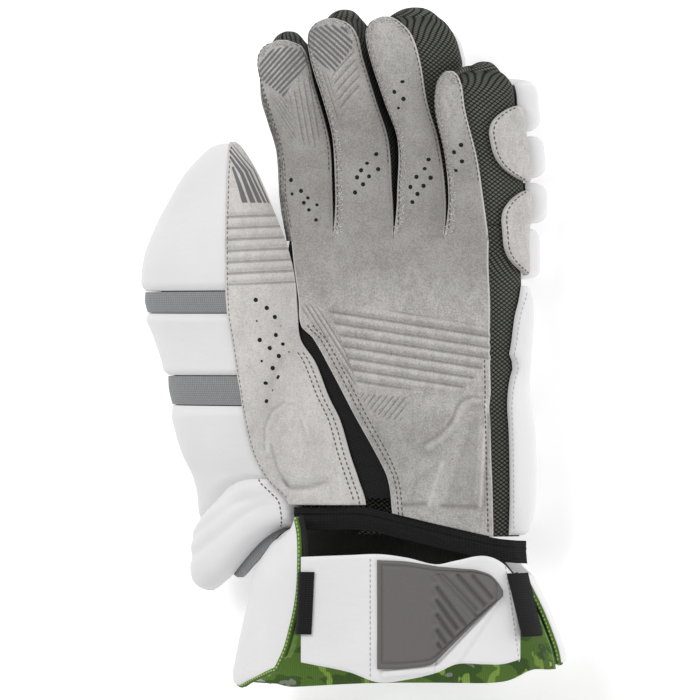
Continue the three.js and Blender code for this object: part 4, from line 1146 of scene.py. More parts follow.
# The hand's body is a dark mesh sleeve under the pads. It shows beside the palm on the little
# finger's side, and is open toward the thumb below the crotch.
BACK_PAD = 12
HAND_OVERLAP = 7
CROTCH_Y, CROTCH_LENGTH = ROOT_Y - 6, 20
WRIST_Y = ROOT_Y - PALM_LENGTH
MESH_PITCH = 0.0025
mesh_look = Look("dark_mesh", roughness=0.9, specular_ior_level=0.2)
mesh_across, mesh_along = mesh_look.along_cloth()
mesh_a = ((mesh_across * 0.42 + mesh_along * 0.6) * 2 * math.pi / MESH_PITCH).wave()
mesh_b = ((mesh_across * 0.42 - mesh_along * 0.6) * 2 * math.pi / MESH_PITCH).wave()
mesh_cells = abs(mesh_a * mesh_b).above(0.4, 0.7)
mesh_cloud = mesh_look.noise(60, 3)
mesh_tone = mesh_look.blend(mesh_cells, tone(22, 23, 20), tone(108, 110, 102))
mesh_tone = mesh_look.blend(mesh_cloud.above(0.5, 0.6) * 0.25, mesh_tone, tone(60, 62, 58))
mesh_look.wear(base_color=mesh_tone, normal=mesh_look.relief(mesh_cells, 0.00035, 0.8))
hand_shape = table(("along", "left", "right", "right_top"), [
    (-0.05, -0.66, 0.545, 0.93),
    (0.0, -0.665, 0.55, 0.93),
    (0.2, -0.73, 0.56, 0.93),
    (0.35, -0.75, 0.545, 0.92),
    (0.5, -0.75, 0.53, 0.9),
    (0.66, -0.74, 0.56, 0.88),
    (0.86, -0.72, 0.56, 0.84),
    (1.0, -0.7, 0.54, 0.8),
])


def hand_surface(t, y):
    """The outside of the hand's sleeve: an open oval from the palm's left edge round to its right one."""
    along = (ROOT_Y - y) / PALM_LENGTH
    s, palm_edge = hand_shape(along), palm_shape(np.clip(along, 0, 1))
    left_top = PALM_TOP * palm_edge.level - SUEDE - SEAM
    x, z = hollow_section(
        t, np.minimum(palm_edge.left, -0.5) * HAND_WIDTH + UNDERLAP, palm_edge.right * HAND_WIDTH - UNDERLAP,
        left_top, np.minimum(left_top, PALM_TOP * s.right_top), s.left * HAND_WIDTH, s.right * HAND_WIDTH,
        BACK_PAD, 3)
    return stack(x, y, z)


def hand_place(u, v):
    """Where the sleeve's cloth lies: the whole way round at the fingers, and open on the thumb side below."""
    y = mix(ROOT_Y + HAND_OVERLAP, WRIST_Y, v)
    left = mix(-0.72, -1, smooth(y, CROTCH_Y - CROTCH_LENGTH, CROTCH_Y))
    return mix(left, 1, u), y


hand_grids = cover_grids(
    hand_surface, hand_place, lambda u, v, t, y: -SHELL + 0 * u,
    lambda u, v, t, y: 0.25 * swirl(t * 60, y, 22, 21) * (1 - t ** 8), 90, 110)
woven("hand_mesh", hand_grids, mesh_look.material, ["hand_liner"])

# Four finger sleeves of the same dark mesh, with a padded hood over each fingertip. The hoods are
# gathered round the suede's tip, so they swell between small puckers.
HOOD, HOOD_ROUND, HOOD_DOME, HOOD_NOSE, HOOD_APEX, HOOD_TIP = 5, 18, 18, 0.72, 0.46, 0.05
partings = table(("along", "first", "second", "third"), [
    (0.0, -0.365, -0.055, 0.257),
    (0.2, -0.367, -0.055, 0.257),
    (0.45, -0.37, -0.055, 0.26),
    (0.62, -0.405, -0.11, 0.258),
    (0.82, -0.465, -0.17, 0.262),
    (1.05, -0.49, -0.18, 0.27),
])


def finger_walls(finger, y):
    """How far a finger's sleeve may reach to each side before it meets its neighbours."""
    lines = partings((y - ROOT_Y) / FINGERS["middle"].length)
    left = getattr(lines, finger.left_parting) * HAND_WIDTH + SEAM if finger.left_parting else -1e9
    right = getattr(lines, finger.right_parting) * HAND_WIDTH - SEAM if finger.right_parting else 1e9
    return left, right


def finger_surface(finger):
    """The outside of a finger's sleeve: open ovals under the suede that close into a hood at the tip."""
    def surface(t, y):
        along = (y - ROOT_Y) / finger.length
        s = finger.shape(along)
        wall_left, wall_right = finger_walls(finger, y)
        top = PALM_TOP * palm_shape(0.0).level + s.rise * FINGER_RISE - SUEDE - SEAM
        tuck = np.minimum(UNDERLAP, (s.right - s.left) * HAND_WIDTH / 2 - SEAM)
        end = (1 - along) * finger.length + HOOD
        close = np.sqrt(1 - (1 - np.clip(end / HOOD_ROUND, 0, 1)) ** 2)
        narrow = mix(HOOD_TIP, 1, np.sqrt(1 - (1 - np.clip(end / HOOD_DOME, 0, 1)) ** 2))
        left_rim = np.maximum(s.left * HAND_WIDTH + tuck, wall_left)
        right_rim = np.minimum(s.right * HAND_WIDTH - tuck, wall_right)
        left = np.maximum(np.minimum(s.shell_left * HAND_WIDTH, left_rim), wall_left)
        right = np.minimum(np.maximum(s.shell_right * HAND_WIDTH, right_rim), wall_right)
        middle = mix(left, right, HOOD_APEX)
        beyond = smooth(along, 0.98, 1 + HOOD / finger.length)
        low = BACK_PAD + s.heel * FINGER_RISE
        nose = mix(top, low, HOOD_NOSE)
        roof = mix(nose + SHELL, top, np.sqrt(1 - (1 - np.clip(end / HOOD, 0, 1)) ** 2))
        x, z = hollow_section(
            t, mix(left_rim, middle - SEAM, beyond), mix(right_rim, middle + SEAM, beyond), roof, roof,
            mix(middle, left, narrow), mix(middle, right, narrow), mix(nose - SHELL, low, close), 3)
        return stack(x, y, z)
    return surface


for order, (name, finger) in enumerate(FINGERS.items()):
    start, end = ROOT_Y + HAND_OVERLAP + SEAM, ROOT_Y + finger.length + HOOD

    def finger_folds(u, v, t, y, seed=31 + order, length=finger.length):
        """Soft folds of the sleeve, deeper in the hood, and none at the rims."""
        hooded = smooth((y - ROOT_Y) / length, 0.55, 0.95)
        return (0.2 + 0.35 * hooded) * swirl(t * 30, y, 27, seed) * (1 - t ** 8) * (1 - v ** 6)

    sleeve = cover_grids(
        finger_surface(finger), lambda u, v: (mix(-1, 1, u), mix(start, end, 1 - (1 - v) ** 2)),
        lambda u, v, t, y: -SHELL + 0 * u, finger_folds, 96, 72)
    woven(f"{name}_mesh", sleeve, mesh_look.material, [f"{name}_gusset"])

# A narrow strip of darker suede is sewn along the index finger's outer edge, half under the palm's sheet.
EDGE_STRIP, EDGE_STRIP_THICK = 4.6, 1.2
edge_look = suede_finish("edge_suede_nap", tone(166, 164, 161), tone(92, 90, 88), marked=False)
u, v = net(8, 120, v_ends=(0.86, 0.0))
edge_top = strip_point(FINGERS["index"], np.zeros_like(v), v)
edge_top[..., 0] += EDGE_STRIP * (u - 0.8) * smooth(0.86 - v, -0.02, 0.2)
edge_top[..., 2] += -SUEDE - SEAM - 1.5 * (1 - u) ** 2 + 0.25 * swirl(v * 90, u * 9, 6, 58)
cover("index_edge_suede", (edge_top, edge_top - [0, 0, EDGE_STRIP_THICK]), edge_look.material)
edge_line = edge_path(edge_top, 1.6, slice(3, -3))
bead_piece("index_edge_stitching", [stitch_run(*edge_line)], thread_look)

# White padded rolls: three across the back of each finger, foam under smooth coated leather, sewn
# down between them so that the finger can bend.
ROLL = 11
ROLL_JOINTS = (0.1, 0.37, 0.64, 0.945)
ROLL_GAP, ROLL_REACH, PINKY_ROLL_REACH, RING_TIP_REACH = 0.024, 0.52, 0.66, 0.3
leather_look = Look("white_leather", roughness=0.48, specular_ior_level=0.35)
leather_grain = leather_look.noise(1500, 4, 0.65)
leather_creases = leather_look.noise(120, 5, 0.6, leather_look.point((1, 2.2, 1), (0.3, 0.2, 0.5)))
leather_cloud = leather_look.noise(16, 3)
leather_tone = leather_look.blend(leather_cloud.above(0.5, 0.5), tone(230, 229, 230), tone(238, 237, 238))
leather_look.wear(
    base_color=leather_tone, roughness=0.42 + leather_grain * 0.16,
    normal=leather_look.relief(leather_grain * 0.3 + leather_creases * 0.9, 0.0007, 0.4))


def crown(u, v, across=6, along=5):
    """Height of a puffed pad, 1 in its middle and 0 at its sewn edges, on two blunt arches."""
    return np.sqrt(np.clip((1 - np.abs(2 * u - 1) ** across) * (1 - np.abs(2 * v - 1) ** along), 0, 1))


def puckers(u, v, t, y, seed):
    """Fine gathers from -1 to 1 that run in from the sewn edges and fade toward the middle."""
    edge = np.minimum(np.minimum(u, 1 - u) * 2, np.minimum(v, 1 - v) * 2)
    return swirl(t * 45, y, 7, seed) * np.exp(-edge * 5)


def pad_heights(foot, thick, seed, edge=PAD_EDGE, across=6, along=5):
    """Cover heights of a pad: its foot and sewn edge, its crown, and its gathers and soft waves."""
    def high(u, v, t, y):
        rise = crown(u, v, across, along)
        waves = 0.3 * puckers(u, v, t, y, seed) + 0.3 * swirl(t * 45, y, 26, seed + 50)
        return foot + edge + (thick - edge) * rise + waves * np.sqrt(rise)
    return high


for order, (name, finger) in enumerate(FINGERS.items()):
    reach = PINKY_ROLL_REACH if name == "pinky" else ROLL_REACH
    for number in (1, 2, 3):
        low_end, high_end = ROLL_JOINTS[3 - number], ROLL_JOINTS[4 - number] - ROLL_GAP
        far = RING_TIP_REACH if (name, number) == ("ring", 1) else reach
        roll = cover_grids(
            finger_surface(finger),
            lambda u, v: (mix(-ROLL_REACH, far, u), ROOT_Y + mix(low_end, high_end, v) * finger.length),
            lambda u, v, t, y: PAD_GAP + 0 * u, pad_heights(PAD_GAP, ROLL, 60 + 3 * order + number), 28, 44, 0.6)
        left, right = finger_walls(finger, roll[0][..., 1])
        roll[0][..., 0] = np.clip(roll[0][..., 0], left, right)
        piece = cover(
            f"{name}_pad_{number}", roll, leather_look.material, [f"{name}_roll_{number}"])

# The backhand: four knuckle pads and three large pads over the sleeve, pressed flat where the glove
# lies on them, and a long panel on the little finger's side whose inner edge is cut in a wave.
BACK_PRESS = 4
KNUCKLE_LENGTH, BACK_GROOVE = 25, 3
KNUCKLES = {"index": (-0.66, -0.24), "middle": (-0.22, -0.01), "ring": (0.01, 0.22), "pinky": (0.24, 0.66)}
BACK_PADS = {"back_pad_upper": (0, 0.5), "back_pad_middle": (0.5, 0.76), "back_pad_lower": (0.76, 1)}
BACK_SIDES, SIDE_PANEL, SIDE_PAD = (-0.6, 0.55), (0.6, 0.94), 7
SIDE_SHARE = 0.012
side_cut = table(("y", "back"), [
    (-90, 0), (-30, 0), (-22, 0.8), (-14, 2.4), (-7.5, 4.4), (-2.5, 1.6), (3, 2.4), (17, 4.0),
    (24, 6.5), (31, 9),
])


def resting(grids):
    """The cover of a pad with what lies below the table pressed flat onto it."""
    for grid in grids:
        grid[..., 2] = np.maximum(grid[..., 2], 0)
    return grids


def hand_pad(name, sides, low_y, high_y, thick, seed, edge_of=None):
    """A padded piece on the hand's sleeve, between two turns round it and two places along it."""
    def place(u, v):
        y = mix(low_y, high_y, v)
        return mix(sides[0], sides[1] - (edge_of(y) if edge_of else 0), u), y

    grids = resting(cover_grids(
        hand_surface, place, lambda u, v, t, y: PAD_GAP + 0 * u,
        pad_heights(PAD_GAP, thick - PAD_GAP, seed, across=8, along=7), 40, 64, 0.6))
    piece = cover(name + "_cover", grids, leather_look.material, [name])
    return grids


knuckle_top = ROOT_Y + HAND_OVERLAP - PAD_GAP
back_top = knuckle_top - KNUCKLE_LENGTH - BACK_GROOVE
for order, (name, sides) in enumerate(KNUCKLES.items()):
    hand_pad(
        f"{name}_knuckle", sides, knuckle_top - KNUCKLE_LENGTH, knuckle_top, BACK_PAD + BACK_PRESS, 80 + order)
for order, (name, (first, last)) in enumerate(BACK_PADS.items()):
    low_y, high_y = mix(back_top, WRIST_Y, last) + BACK_GROOVE, mix(back_top, WRIST_Y, first)
    hand_pad(name, BACK_SIDES, low_y, high_y, BACK_PAD + BACK_PRESS, 90 + order)
side_grids = hand_pad(
    "side_panel", SIDE_PANEL, WRIST_Y + PAD_GAP, back_top, SIDE_PAD, 97,
    lambda y: side_cut(y).back * SIDE_SHARE)
side_line = edge_path(side_grids[0], 2.4, slice(2, -2), True)
bead_piece("side_stitching", [stitch_run(*side_line)], pale_thread_look)

# Two half rounds of suede sewn over the joins on the little finger's side.
PATCH_PAD = 3
PATCHES = {"side_patch_upper": (0.346, 0.802), "side_patch_lower": (-0.21, 0.296)}
PINKY_LENGTH = FINGERS["pinky"].length


def side_surface(t, y):
    """The hand's sleeve that turns into the little finger's across their join."""
    join = ROOT_Y + HAND_OVERLAP
    share = smooth(y, join - 8, join + 8)[..., None]
    return mix(hand_surface(t, y), finger_surface(FINGERS["pinky"])(t, np.maximum(y, ROOT_Y)), share)


patch_look = suede_finish("patch_suede_nap", tone(208, 205, 202), tone(176, 173, 170), marked=False)
patch_stitches = []
for name, (low_share, high_share) in PATCHES.items():
    def patch_place(u, v):
        """A half round: its inner edge bows out toward the palm."""
        bow = np.sqrt(1 - np.abs(2 * v - 1) ** 3)
        return mix(0.7, 0.74 + 0.22 * bow, u), ROOT_Y + mix(low_share, high_share, v) * PINKY_LENGTH

    patch = cover_grids(
        side_surface, patch_place, lambda u, v, t, y: 1.8 * PAD_GAP + 0 * u,
        pad_heights(1.8 * PAD_GAP, PATCH_PAD, 120, across=10, along=10), 48, 24, 0.5)
    piece = cover(f"{name}_cover", patch, patch_look.material, [name])
    patch_stitches.append(stitch_run(*edge_path(patch[0], 2.2, slice(2, -2), True)))
bead_piece("patch_stitching", patch_stitches, thread_look)

# The thumb: a dark sleeve inside, and round it a stiff white shell in three padded segments with
# grey knit bands between them, so that the thumb can flex.
THUMB_PAD, THUMB_BAND, BAND_SINK, THUMB_WRAP = 8, 4.5, 2, 0.62
THUMB_JOINTS = {"tip": 0.004, "cap": 0.41, "upper": 0.472, "middle": 0.645, "lower": 0.727}
THUMB_GAP = 0.003
knit_look = Look("grey_knit", roughness=0.9, sheen_weight=0.2)
knit_across, knit_along = knit_look.along_cloth()
knit_rib = knit_across.ribs(0.0013)
knit_loop = knit_along.ribs(0.0011)
knit_shade = knit_rib * 0.5 + knit_loop * 0.3 + knit_look.noise(500, 3) * 0.3
knit_look.wear(
    base_color=knit_look.blend(knit_shade, tone(104, 105, 106), tone(156, 157, 158)),
    normal=knit_look.relief(knit_shade, 0.0003, 0.6))


def thumb_surface(t, y):
    """The outside of the thumb's shell: open ovals from the ridge seam round the back to the hand."""
    s, ridge_x, right = thumb_edges(y)
    x, z = hollow_section(
        t, ridge_x, right - UNDERLAP, s.ridge_top * THUMB_TOP - SUEDE, s.right_top * PALM_TOP - SUEDE - SEAM,
        ridge_x - s.reach * THUMB_SHELL_WIDTH, s.wall * HAND_WIDTH, s.bottom * THUMB_TOP, 2.6)
    return stack(x, y, z)


def thumb_sleeve_place(u, v):
    """Where the thumb's sleeve lies: round the whole thumb above the crotch, open to the hand below it."""
    y = mix(THUMB_TIP_Y - THUMB_PAD - 4, THUMB_TIP_Y - THUMB_LENGTH, v)
    return mix(-0.97, mix(THUMB_WRAP, 1, smooth(y, CROTCH_Y - CROTCH_LENGTH, CROTCH_Y)), u), y


def sleeve_depth(u, v, t, y):
    """How deep the sleeve lies inside the shell: a pad's thickness, and nothing at the hand's side."""
    return -(THUMB_PAD + 2 * PAD_GAP) * (1 - smooth(t, THUMB_WRAP, 0.95))


thumb_sleeve = cover_grids(
    thumb_surface, thumb_sleeve_place, lambda u, v, t, y: sleeve_depth(u, v, t, y) - SHELL,
    sleeve_depth, 60, 70)
woven("thumb_mesh", thumb_sleeve, mesh_look.material, ["thumb_liner"])


def shell_cover(seed, rise=0.0, round_top=0.1):
    """Heights of a shell segment: flush in the middle, turned in at its two ends and its ridge seam."""
    def high(u, v, t, y):
        end = np.minimum(smooth(v, 0, 0.12), smooth(1 - v, 0, 0.12))
        seam = smooth(u, 0, 0.03)
        return rise - 2.2 * (1 - np.sqrt(end)) - 1.2 * (1 - np.sqrt(seam)) + 0.35 * swirl(t * 50, y, 30, seed)
    return high


def thumb_part(name, low_share, high_share, look, low, high, rows=36, columns=84):
    """A piece of the thumb's shell between two shares of the thumb's length."""
    def place(u, v):
        return mix(-1, THUMB_WRAP, u), THUMB_TIP_Y - mix(low_share, high_share, v) * THUMB_LENGTH

    grids = cover_grids(thumb_surface, place, low, high, rows, columns, 0.4)
    piece = cover(name + "_cover", grids, look, [name])
    return grids


def cap_high(u, v, t, y):
    """The cap's cover: rounded at its tip, turned in at the lower end."""
    end = smooth(1 - v, 0, 0.06)
    tucks = -2.2 * (1 - np.sqrt(end)) - 0.8 * (1 - np.sqrt(smooth(u, 0, 0.02)))
    return tucks + 0.4 * swirl(t * 50, y, 60, 140)


def pad_under(u, v, t, y):
    """The underside of a shell segment, one pad below its outside."""
    return -THUMB_PAD + 0 * u


def band_high(u, v, t, y):
    """A knit band's cover: a little proud between its neighbours, with small gathers."""
    return -BAND_SINK + 0.5 * np.sin(np.pi * v) + 0.12 * swirl(t * 50, y, 5, 150)


joints = THUMB_JOINTS
white, knit = leather_look.material, knit_look.material
thumb_part("thumb_cap", joints["tip"], joints["cap"], white, pad_under, cap_high, 96)
thumb_part("thumb_band_upper", joints["cap"] + THUMB_GAP, joints["upper"], knit,
           lambda u, v, t, y: -BAND_SINK - THUMB_BAND + 0 * u, band_high, 20, 160)
thumb_part("thumb_segment_middle", joints["upper"] + THUMB_GAP, joints["middle"], white,
           pad_under, shell_cover(142))
thumb_part("thumb_band_lower", joints["middle"] + THUMB_GAP, joints["lower"], knit,
           lambda u, v, t, y: -BAND_SINK - THUMB_BAND + 0 * u, band_high, 20, 160)

WRIST_ROLL_Y, WRIST_ROLL_SLANT, WRIST_ROLL_GAP, ROLL_SLANT_END = -61, 22, 3, -0.68
SEGMENT_TUCK = 2.4


def roll_top(t):
    """The slanted upper edge of the wrist roll, which the lowest segment ends at."""
    return WRIST_ROLL_Y - WRIST_ROLL_SLANT * smooth(t, -1, ROLL_SLANT_END)


def lower_segment_place(u, v):
    """Where the lowest segment lies: from the lower band down to under the wrist roll's upper edge."""
    t = mix(-1, THUMB_WRAP, u)
    start = THUMB_TIP_Y - (THUMB_JOINTS["lower"] + THUMB_GAP) * THUMB_LENGTH
    return t, mix(start, roll_top(t) - SEGMENT_TUCK, v)


lower_segment = cover_grids(thumb_surface, lower_segment_place, pad_under, shell_cover(144), 44, 84, 0.4)
cover("thumb_segment_lower_cover", lower_segment, white, ["thumb_segment_lower"])

# The wrist roll: a thick white bolster that wraps the thumb's base, sewn down along its inner edge.
WRIST_ROLL_WIDTH, WRIST_ROLL_FLARE, WRIST_ROLL_RISE, ROLL_WRAP = 23.5, 17, 4, -0.2


def wrist_roll_place(u, v):
    """Where the roll lies: below its slanted upper edge, wider on the outside of the wrist."""
    t = mix(-1, ROLL_WRAP, u)
    narrowed = 0.4 * smooth(t, -0.84, -0.7) + 0.6 * smooth(t, -0.7, -0.45)
    flare = WRIST_ROLL_FLARE * (smooth(t, -1, -0.86) - narrowed)
    width = WRIST_ROLL_WIDTH + flare
    return t, roll_top(t) - WRIST_ROLL_GAP / 2 - v * width


ROLL_CREASES = (0.24, 0.5)


def wrist_roll_high(u, v, t, y):
    """The roll's cover: a bolster with two long sewn creases, rounded at its sewn edges and ends."""
    full = pad_heights(-THUMB_PAD, WRIST_ROLL_RISE + THUMB_PAD, 160, across=7, along=4)(u, v, t, y)
    creases = sum(bell(v - place - 0.03 * np.sin(3 * u), 0.08) for place in ROLL_CREASES)
    gathers = 0.35 * swirl(v * 60, u * 12, 9, 161) * bell(u, 0.07)
    return full - 0.8 * creases * smooth(u, 0.02, 0.3) + gathers


wrist_roll_grids = cover_grids(
    thumb_surface, wrist_roll_place, pad_under, wrist_roll_high, 90, 72, 0.5)
cover("wrist_roll_cover", wrist_roll_grids, white, ["wrist_roll"])

WEDGE_REACH = 7


def under_roll_place(u, v):
    """Where the dark lining below the roll lies: it peeps out beyond the roll's lower edge."""
    behind = smooth(mix(-1, ROLL_WRAP, u), -0.91, -0.84)
    t, y = wrist_roll_place(u, v * mix(1, 0.8, behind))
    return t, y - WEDGE_REACH * v * smooth(u, 0, 0.08) * (1 - behind)


under_roll = cover_grids(
    thumb_surface, under_roll_place, lambda u, v, t, y: -THUMB_PAD - 2.1 + 0 * u,
    lambda u, v, t, y: -THUMB_PAD - 0.5 + 0 * u, 24, 40)
woven("wrist_roll_lining", under_roll, knit_look.material, [])
roll_line = edge_path(wrist_roll_grids[0], 9, slice(6, -6))
bead_piece("wrist_roll_stitching", [stitch_run(*roll_line)], thread_look)

# The wrist binding: black elastic folded over the palm's wrist edge, with fine ribs along it.
BINDING_WIDTH, BINDING_GAP, BINDING_DROP = 11, 1.2, 15
binding_shape = table(("place", "across", "drop", "height"), [
    (0.0, -0.55, 0, 1.08),
    (0.15, -0.44, 0, 1.06),
    (0.35, -0.22, 0, 0.93),
    (0.47, -0.09, 0.2, 0.87),
    (0.65, 0.165, 0.58, 0.885),
    (0.85, 0.43, 0.95, 0.87),
    (0.94, 0.51, 1.03, 0.76),
    (1.0, 0.55, 1.06, 0.6),
])
u, v = net(200, 24)
s = binding_shape(u)
drop = BINDING_DROP * s.drop + BINDING_WIDTH * v
binding_top = stack(
    s.across * HAND_WIDTH, THUMB_TIP_Y - THUMB_LENGTH - BINDING_GAP - drop,
    s.height * PALM_TOP - 2 * v + 0.9 * np.sin(np.pi * v) - 0.7 * bell(v - 0.35, 0.05)
    + 0.35 * swirl(u * 90, v * 12, 8, 170) + 0.3 * swirl(u * 60, v * 30, 14, 171))
woven("wrist_binding_cover", (binding_top, binding_top - [0, 0, ELASTIC]), elastic_look.material,
      ["wrist_binding"])

# The flared cuff: a padded back and two padded side flaps of white leather, over a green printed
# cloth lining whose turned edge shows as a cord along the flaps.
CUFF_LENGTH, CUFF_WIDTH, CUFF_HEIGHT, CUFF_PAD = 72, 150, 71, 8
CUFF_Y = WRIST_Y - PAD_GAP
cuff_shape = table(("along", "left_rim", "left_top", "right_rim", "right_top", "left", "right"), [
    (-0.14, -0.333, 0.96, 0.33, 0.55, -0.43, 0.34),
    (0.0, -0.31, 1.0, 0.335, 0.6, -0.48, 0.35),
    (0.24, -0.303, 1.0, 0.39, 0.62, -0.57, 0.4),
    (0.43, -0.31, 1.0, 0.44, 0.63, -0.595, 0.45),
    (0.6, -0.327, 1.0, 0.475, 0.62, -0.615, 0.485),
    (0.77, -0.354, 0.99, 0.5, 0.6, -0.635, 0.515),
    (1.0, -0.42, 0.95, 0.51, 0.58, -0.66, 0.53),
])
cuff_reach = table(("t", "start", "end"), [
    (-1.0, -0.15, 0.865),
    (-0.975, -0.09, 0.915),
    (-0.945, -0.04, 0.955),
    (-0.9, 0, 1.0),
    (-0.85, 0, 0.98),
    (-0.8, 0, 0.94),
    (-0.6, 0, 0.97),
    (-0.4, 0, 0.985),
    (0.0, 0, 0.95),
    (0.3, 0, 0.93),
    (0.5, 0.06, 0.84),
    (0.7, 0.2, 0.82),
    (1.0, 0.24, 0.82),
])


def cuff_surface(t, y):
    """The outside of the cuff: open ovals that widen from the wrist to the mouth."""
    s = cuff_shape((WRIST_Y - y) / CUFF_LENGTH)
    x, z = hollow_section(
        t, s.left_rim * CUFF_WIDTH, s.right_rim * CUFF_WIDTH, s.left_top * CUFF_HEIGHT,
        s.right_top * CUFF_HEIGHT, s.left * CUFF_WIDTH, s.right * CUFF_WIDTH, 0, 2.8)
    return stack(x, y, z)


def cuff_place(left, right, grow=0):
    """Where a piece of the cuff lies: between two turns round it, as far along as the cuff reaches there."""
    def place(u, v):
        t = mix(left, right, u)
        reach = cuff_reach(t)
        return t, CUFF_Y - mix(reach.start * CUFF_LENGTH, reach.end * CUFF_LENGTH + grow, v)
    return place


def cuff_padding(t):
    """Thickness of the cuff's foam, thinner toward the two rims."""
    return CUFF_PAD * (1 - 0.7 * np.abs(t) ** 6)


def cuff_pad(name, left, right, seed):
    """A padded piece of the cuff: flush in the middle and turned in at its edges."""
    def high(u, v, t, y):
        sunk = 0.3 * (CUFF_PAD - PAD_EDGE) / CUFF_PAD * cuff_padding(t)
        return -sunk * (1 - np.minimum(1, 1.3 * crown(u, v, 8, 8))) + 0.35 * swirl(t * 60, y, 34, seed)

    grids = resting(cover_grids(
        cuff_surface, cuff_place(left, right), lambda u, v, t, y: -cuff_padding(t), high, 56, 72, 0.6))
    piece = cover(name + "_cover", grids, white, [name])
    return grids


cuff_pad("cuff_back_pad", -0.435, 0.435, 180)
flap_left = cuff_pad("cuff_flap_left", -0.997, -0.44, 181)
flap_right = cuff_pad("cuff_flap_right", 0.44, 0.97, 182)
lining_look = Look("green_print_lining", roughness=0.85, sheen_weight=0.15)
lining_across, _ = lining_look.along_cloth()
lining_blotch = lining_look.noise(52, 2.5, 0.55, lining_look.point((1, 1.9, 1), (0, 0, 0.6)))
lining_second = lining_look.noise(75, 2, 0.5, lining_look.point((1.7, 1, 1), (0, 0, -0.5)))
lining_tone = lining_look.blend(lining_blotch.above(0.5, 0.02), tone(112, 150, 62), tone(80, 114, 50))
lining_tone = lining_look.blend(lining_second.above(0.6, 0.02), lining_tone, tone(168, 206, 92))
lining_grey = (lining_blotch - lining_second * 0.5).above(0.42, 0.02)
lining_tone = lining_look.blend(lining_grey, lining_tone, tone(168, 174, 158))
lining_weave = lining_across.ribs(0.0011)
lining_tone = lining_look.blend(lining_weave * 0.25, lining_tone, tone(50, 70, 34))
# Painted shade: the lining deep inside the cuff, toward the hand, is painted near black.
lining_painted_shade = lining_look.mark("inner").above(0, 1.0)
lining_tone = lining_look.blend(lining_painted_shade, lining_tone, tone(5, 5, 5))
lining_look.wear(base_color=lining_tone, normal=lining_look.relief(lining_weave, 0.00025, 0.6))


LINING_RISE = 0.14


def lining_depth(u, v, t, y):
    """How deep the lining lies inside the cuff: below its foam, and close to it at the rims."""
    waves = 0.3 * swirl(t * 60, y, 24, 185) * (1 - t ** 4)
    return waves - cuff_padding(t) - mix(2 * PAD_GAP, SEAM, np.abs(t) ** 6)


def lining_place(u, v):
    """Where the lining lies: from below the wrist binding to just beyond the foam, but within the left
    flap."""
    t = mix(-1, 1, u)
    reach = cuff_reach(t)
    start = np.minimum(reach.start, -LINING_RISE) + (LINING_RISE + 0.2) * smooth(t, 0.35, 0.75)
    end = reach.end * CUFF_LENGTH + mix(-6, 3, smooth(t, -0.84, -0.4))
    return t, CUFF_Y - mix(start * CUFF_LENGTH, end, v)


lining_grids = resting(cover_grids(
    cuff_surface, lining_place, lambda u, v, t, y: lining_depth(u, v, t, y) - LINING, lining_depth, 60, 130))
# From this place along the glove toward the hand, the lining is painted near black as the shade inside the cuff.
PAINTED_SHADE_EDGE = -109
painted_shade_marks = {"inner": np.concatenate([grid[..., 1].reshape(-1) for grid in lining_grids]) - PAINTED_SHADE_EDGE}
woven("cuff_lining_cloth", lining_grids, lining_look.material, ["cuff_lining"],
      marks=painted_shade_marks)


def tube(path, radius, sides=10):
    """A closed tube round a path of points, its ends closed by small domes."""
    along = np.gradient(path, axis=0)
    along /= np.linalg.norm(along, axis=-1, keepdims=True)
    across = np.cross(along, [0.13, 0.31, 0.94])
    across /= np.linalg.norm(across, axis=-1, keepdims=True)
    off = np.cross(along, across)
    turn = np.linspace(0, 2 * np.pi, sides, endpoint=False)
    ends = np.minimum(np.arange(len(path)), np.arange(len(path))[::-1])
    girth = radius * np.sqrt(np.clip((ends + 0.15) / 2, 0.1, 1))
    ring = across[:, None] * np.cos(turn)[:, None] + off[:, None] * np.sin(turn)[:, None]
    points = (path[:, None] + ring * girth[:, None, None]).reshape(-1, 3)
    row, side = np.meshgrid(np.arange(len(path) - 1), np.arange(sides), indexing="ij")
    row, side = row.reshape(-1), side.reshape(-1)
    following = (side + 1) % sides
    faces = np.stack([row * sides + side, row * sides + following,
                      (row + 1) * sides + following, (row + 1) * sides + side], axis=-1).tolist()
    last = (len(path) - 1) * sides
    faces += [list(range(sides))[::-1], list(range(last, last + sides))]
    return points, faces


EDGING_RADIUS = 1.3
left_middle, right_middle = (flap_left[0] + flap_left[1]) / 2, (flap_right[0] + flap_right[1]) / 2
left_edge = np.concatenate([left_middle[:, 0], left_middle[-1, 1:]])
right_edge = np.concatenate([right_middle[:, -1], right_middle[-1, :-1][::-1]])
edging_look = plain_look("green_edging", tone(92, 124, 52), tone(62, 90, 38), 700, roughness=0.8)
bead_piece(
    "cuff_edging", [tube(edge, EDGING_RADIUS) for edge in (left_edge, right_edge)], edging_look)
lime_look = plain_look("lime_thread", tone(170, 208, 104), tone(140, 180, 80), 2500, roughness=0.7)
EDGING_PITCH, EDGING_STITCH = 2.0, (0.75, 0.45, 0.4)
bead_piece("edging_stitching", [
    stitch_run(
        edge, np.broadcast_to([0.0, 0.0, 1.0], edge.shape), EDGING_PITCH, EDGING_STITCH, EDGING_RADIUS * 0.95)
    for edge in (left_edge, right_edge)
], lime_look)

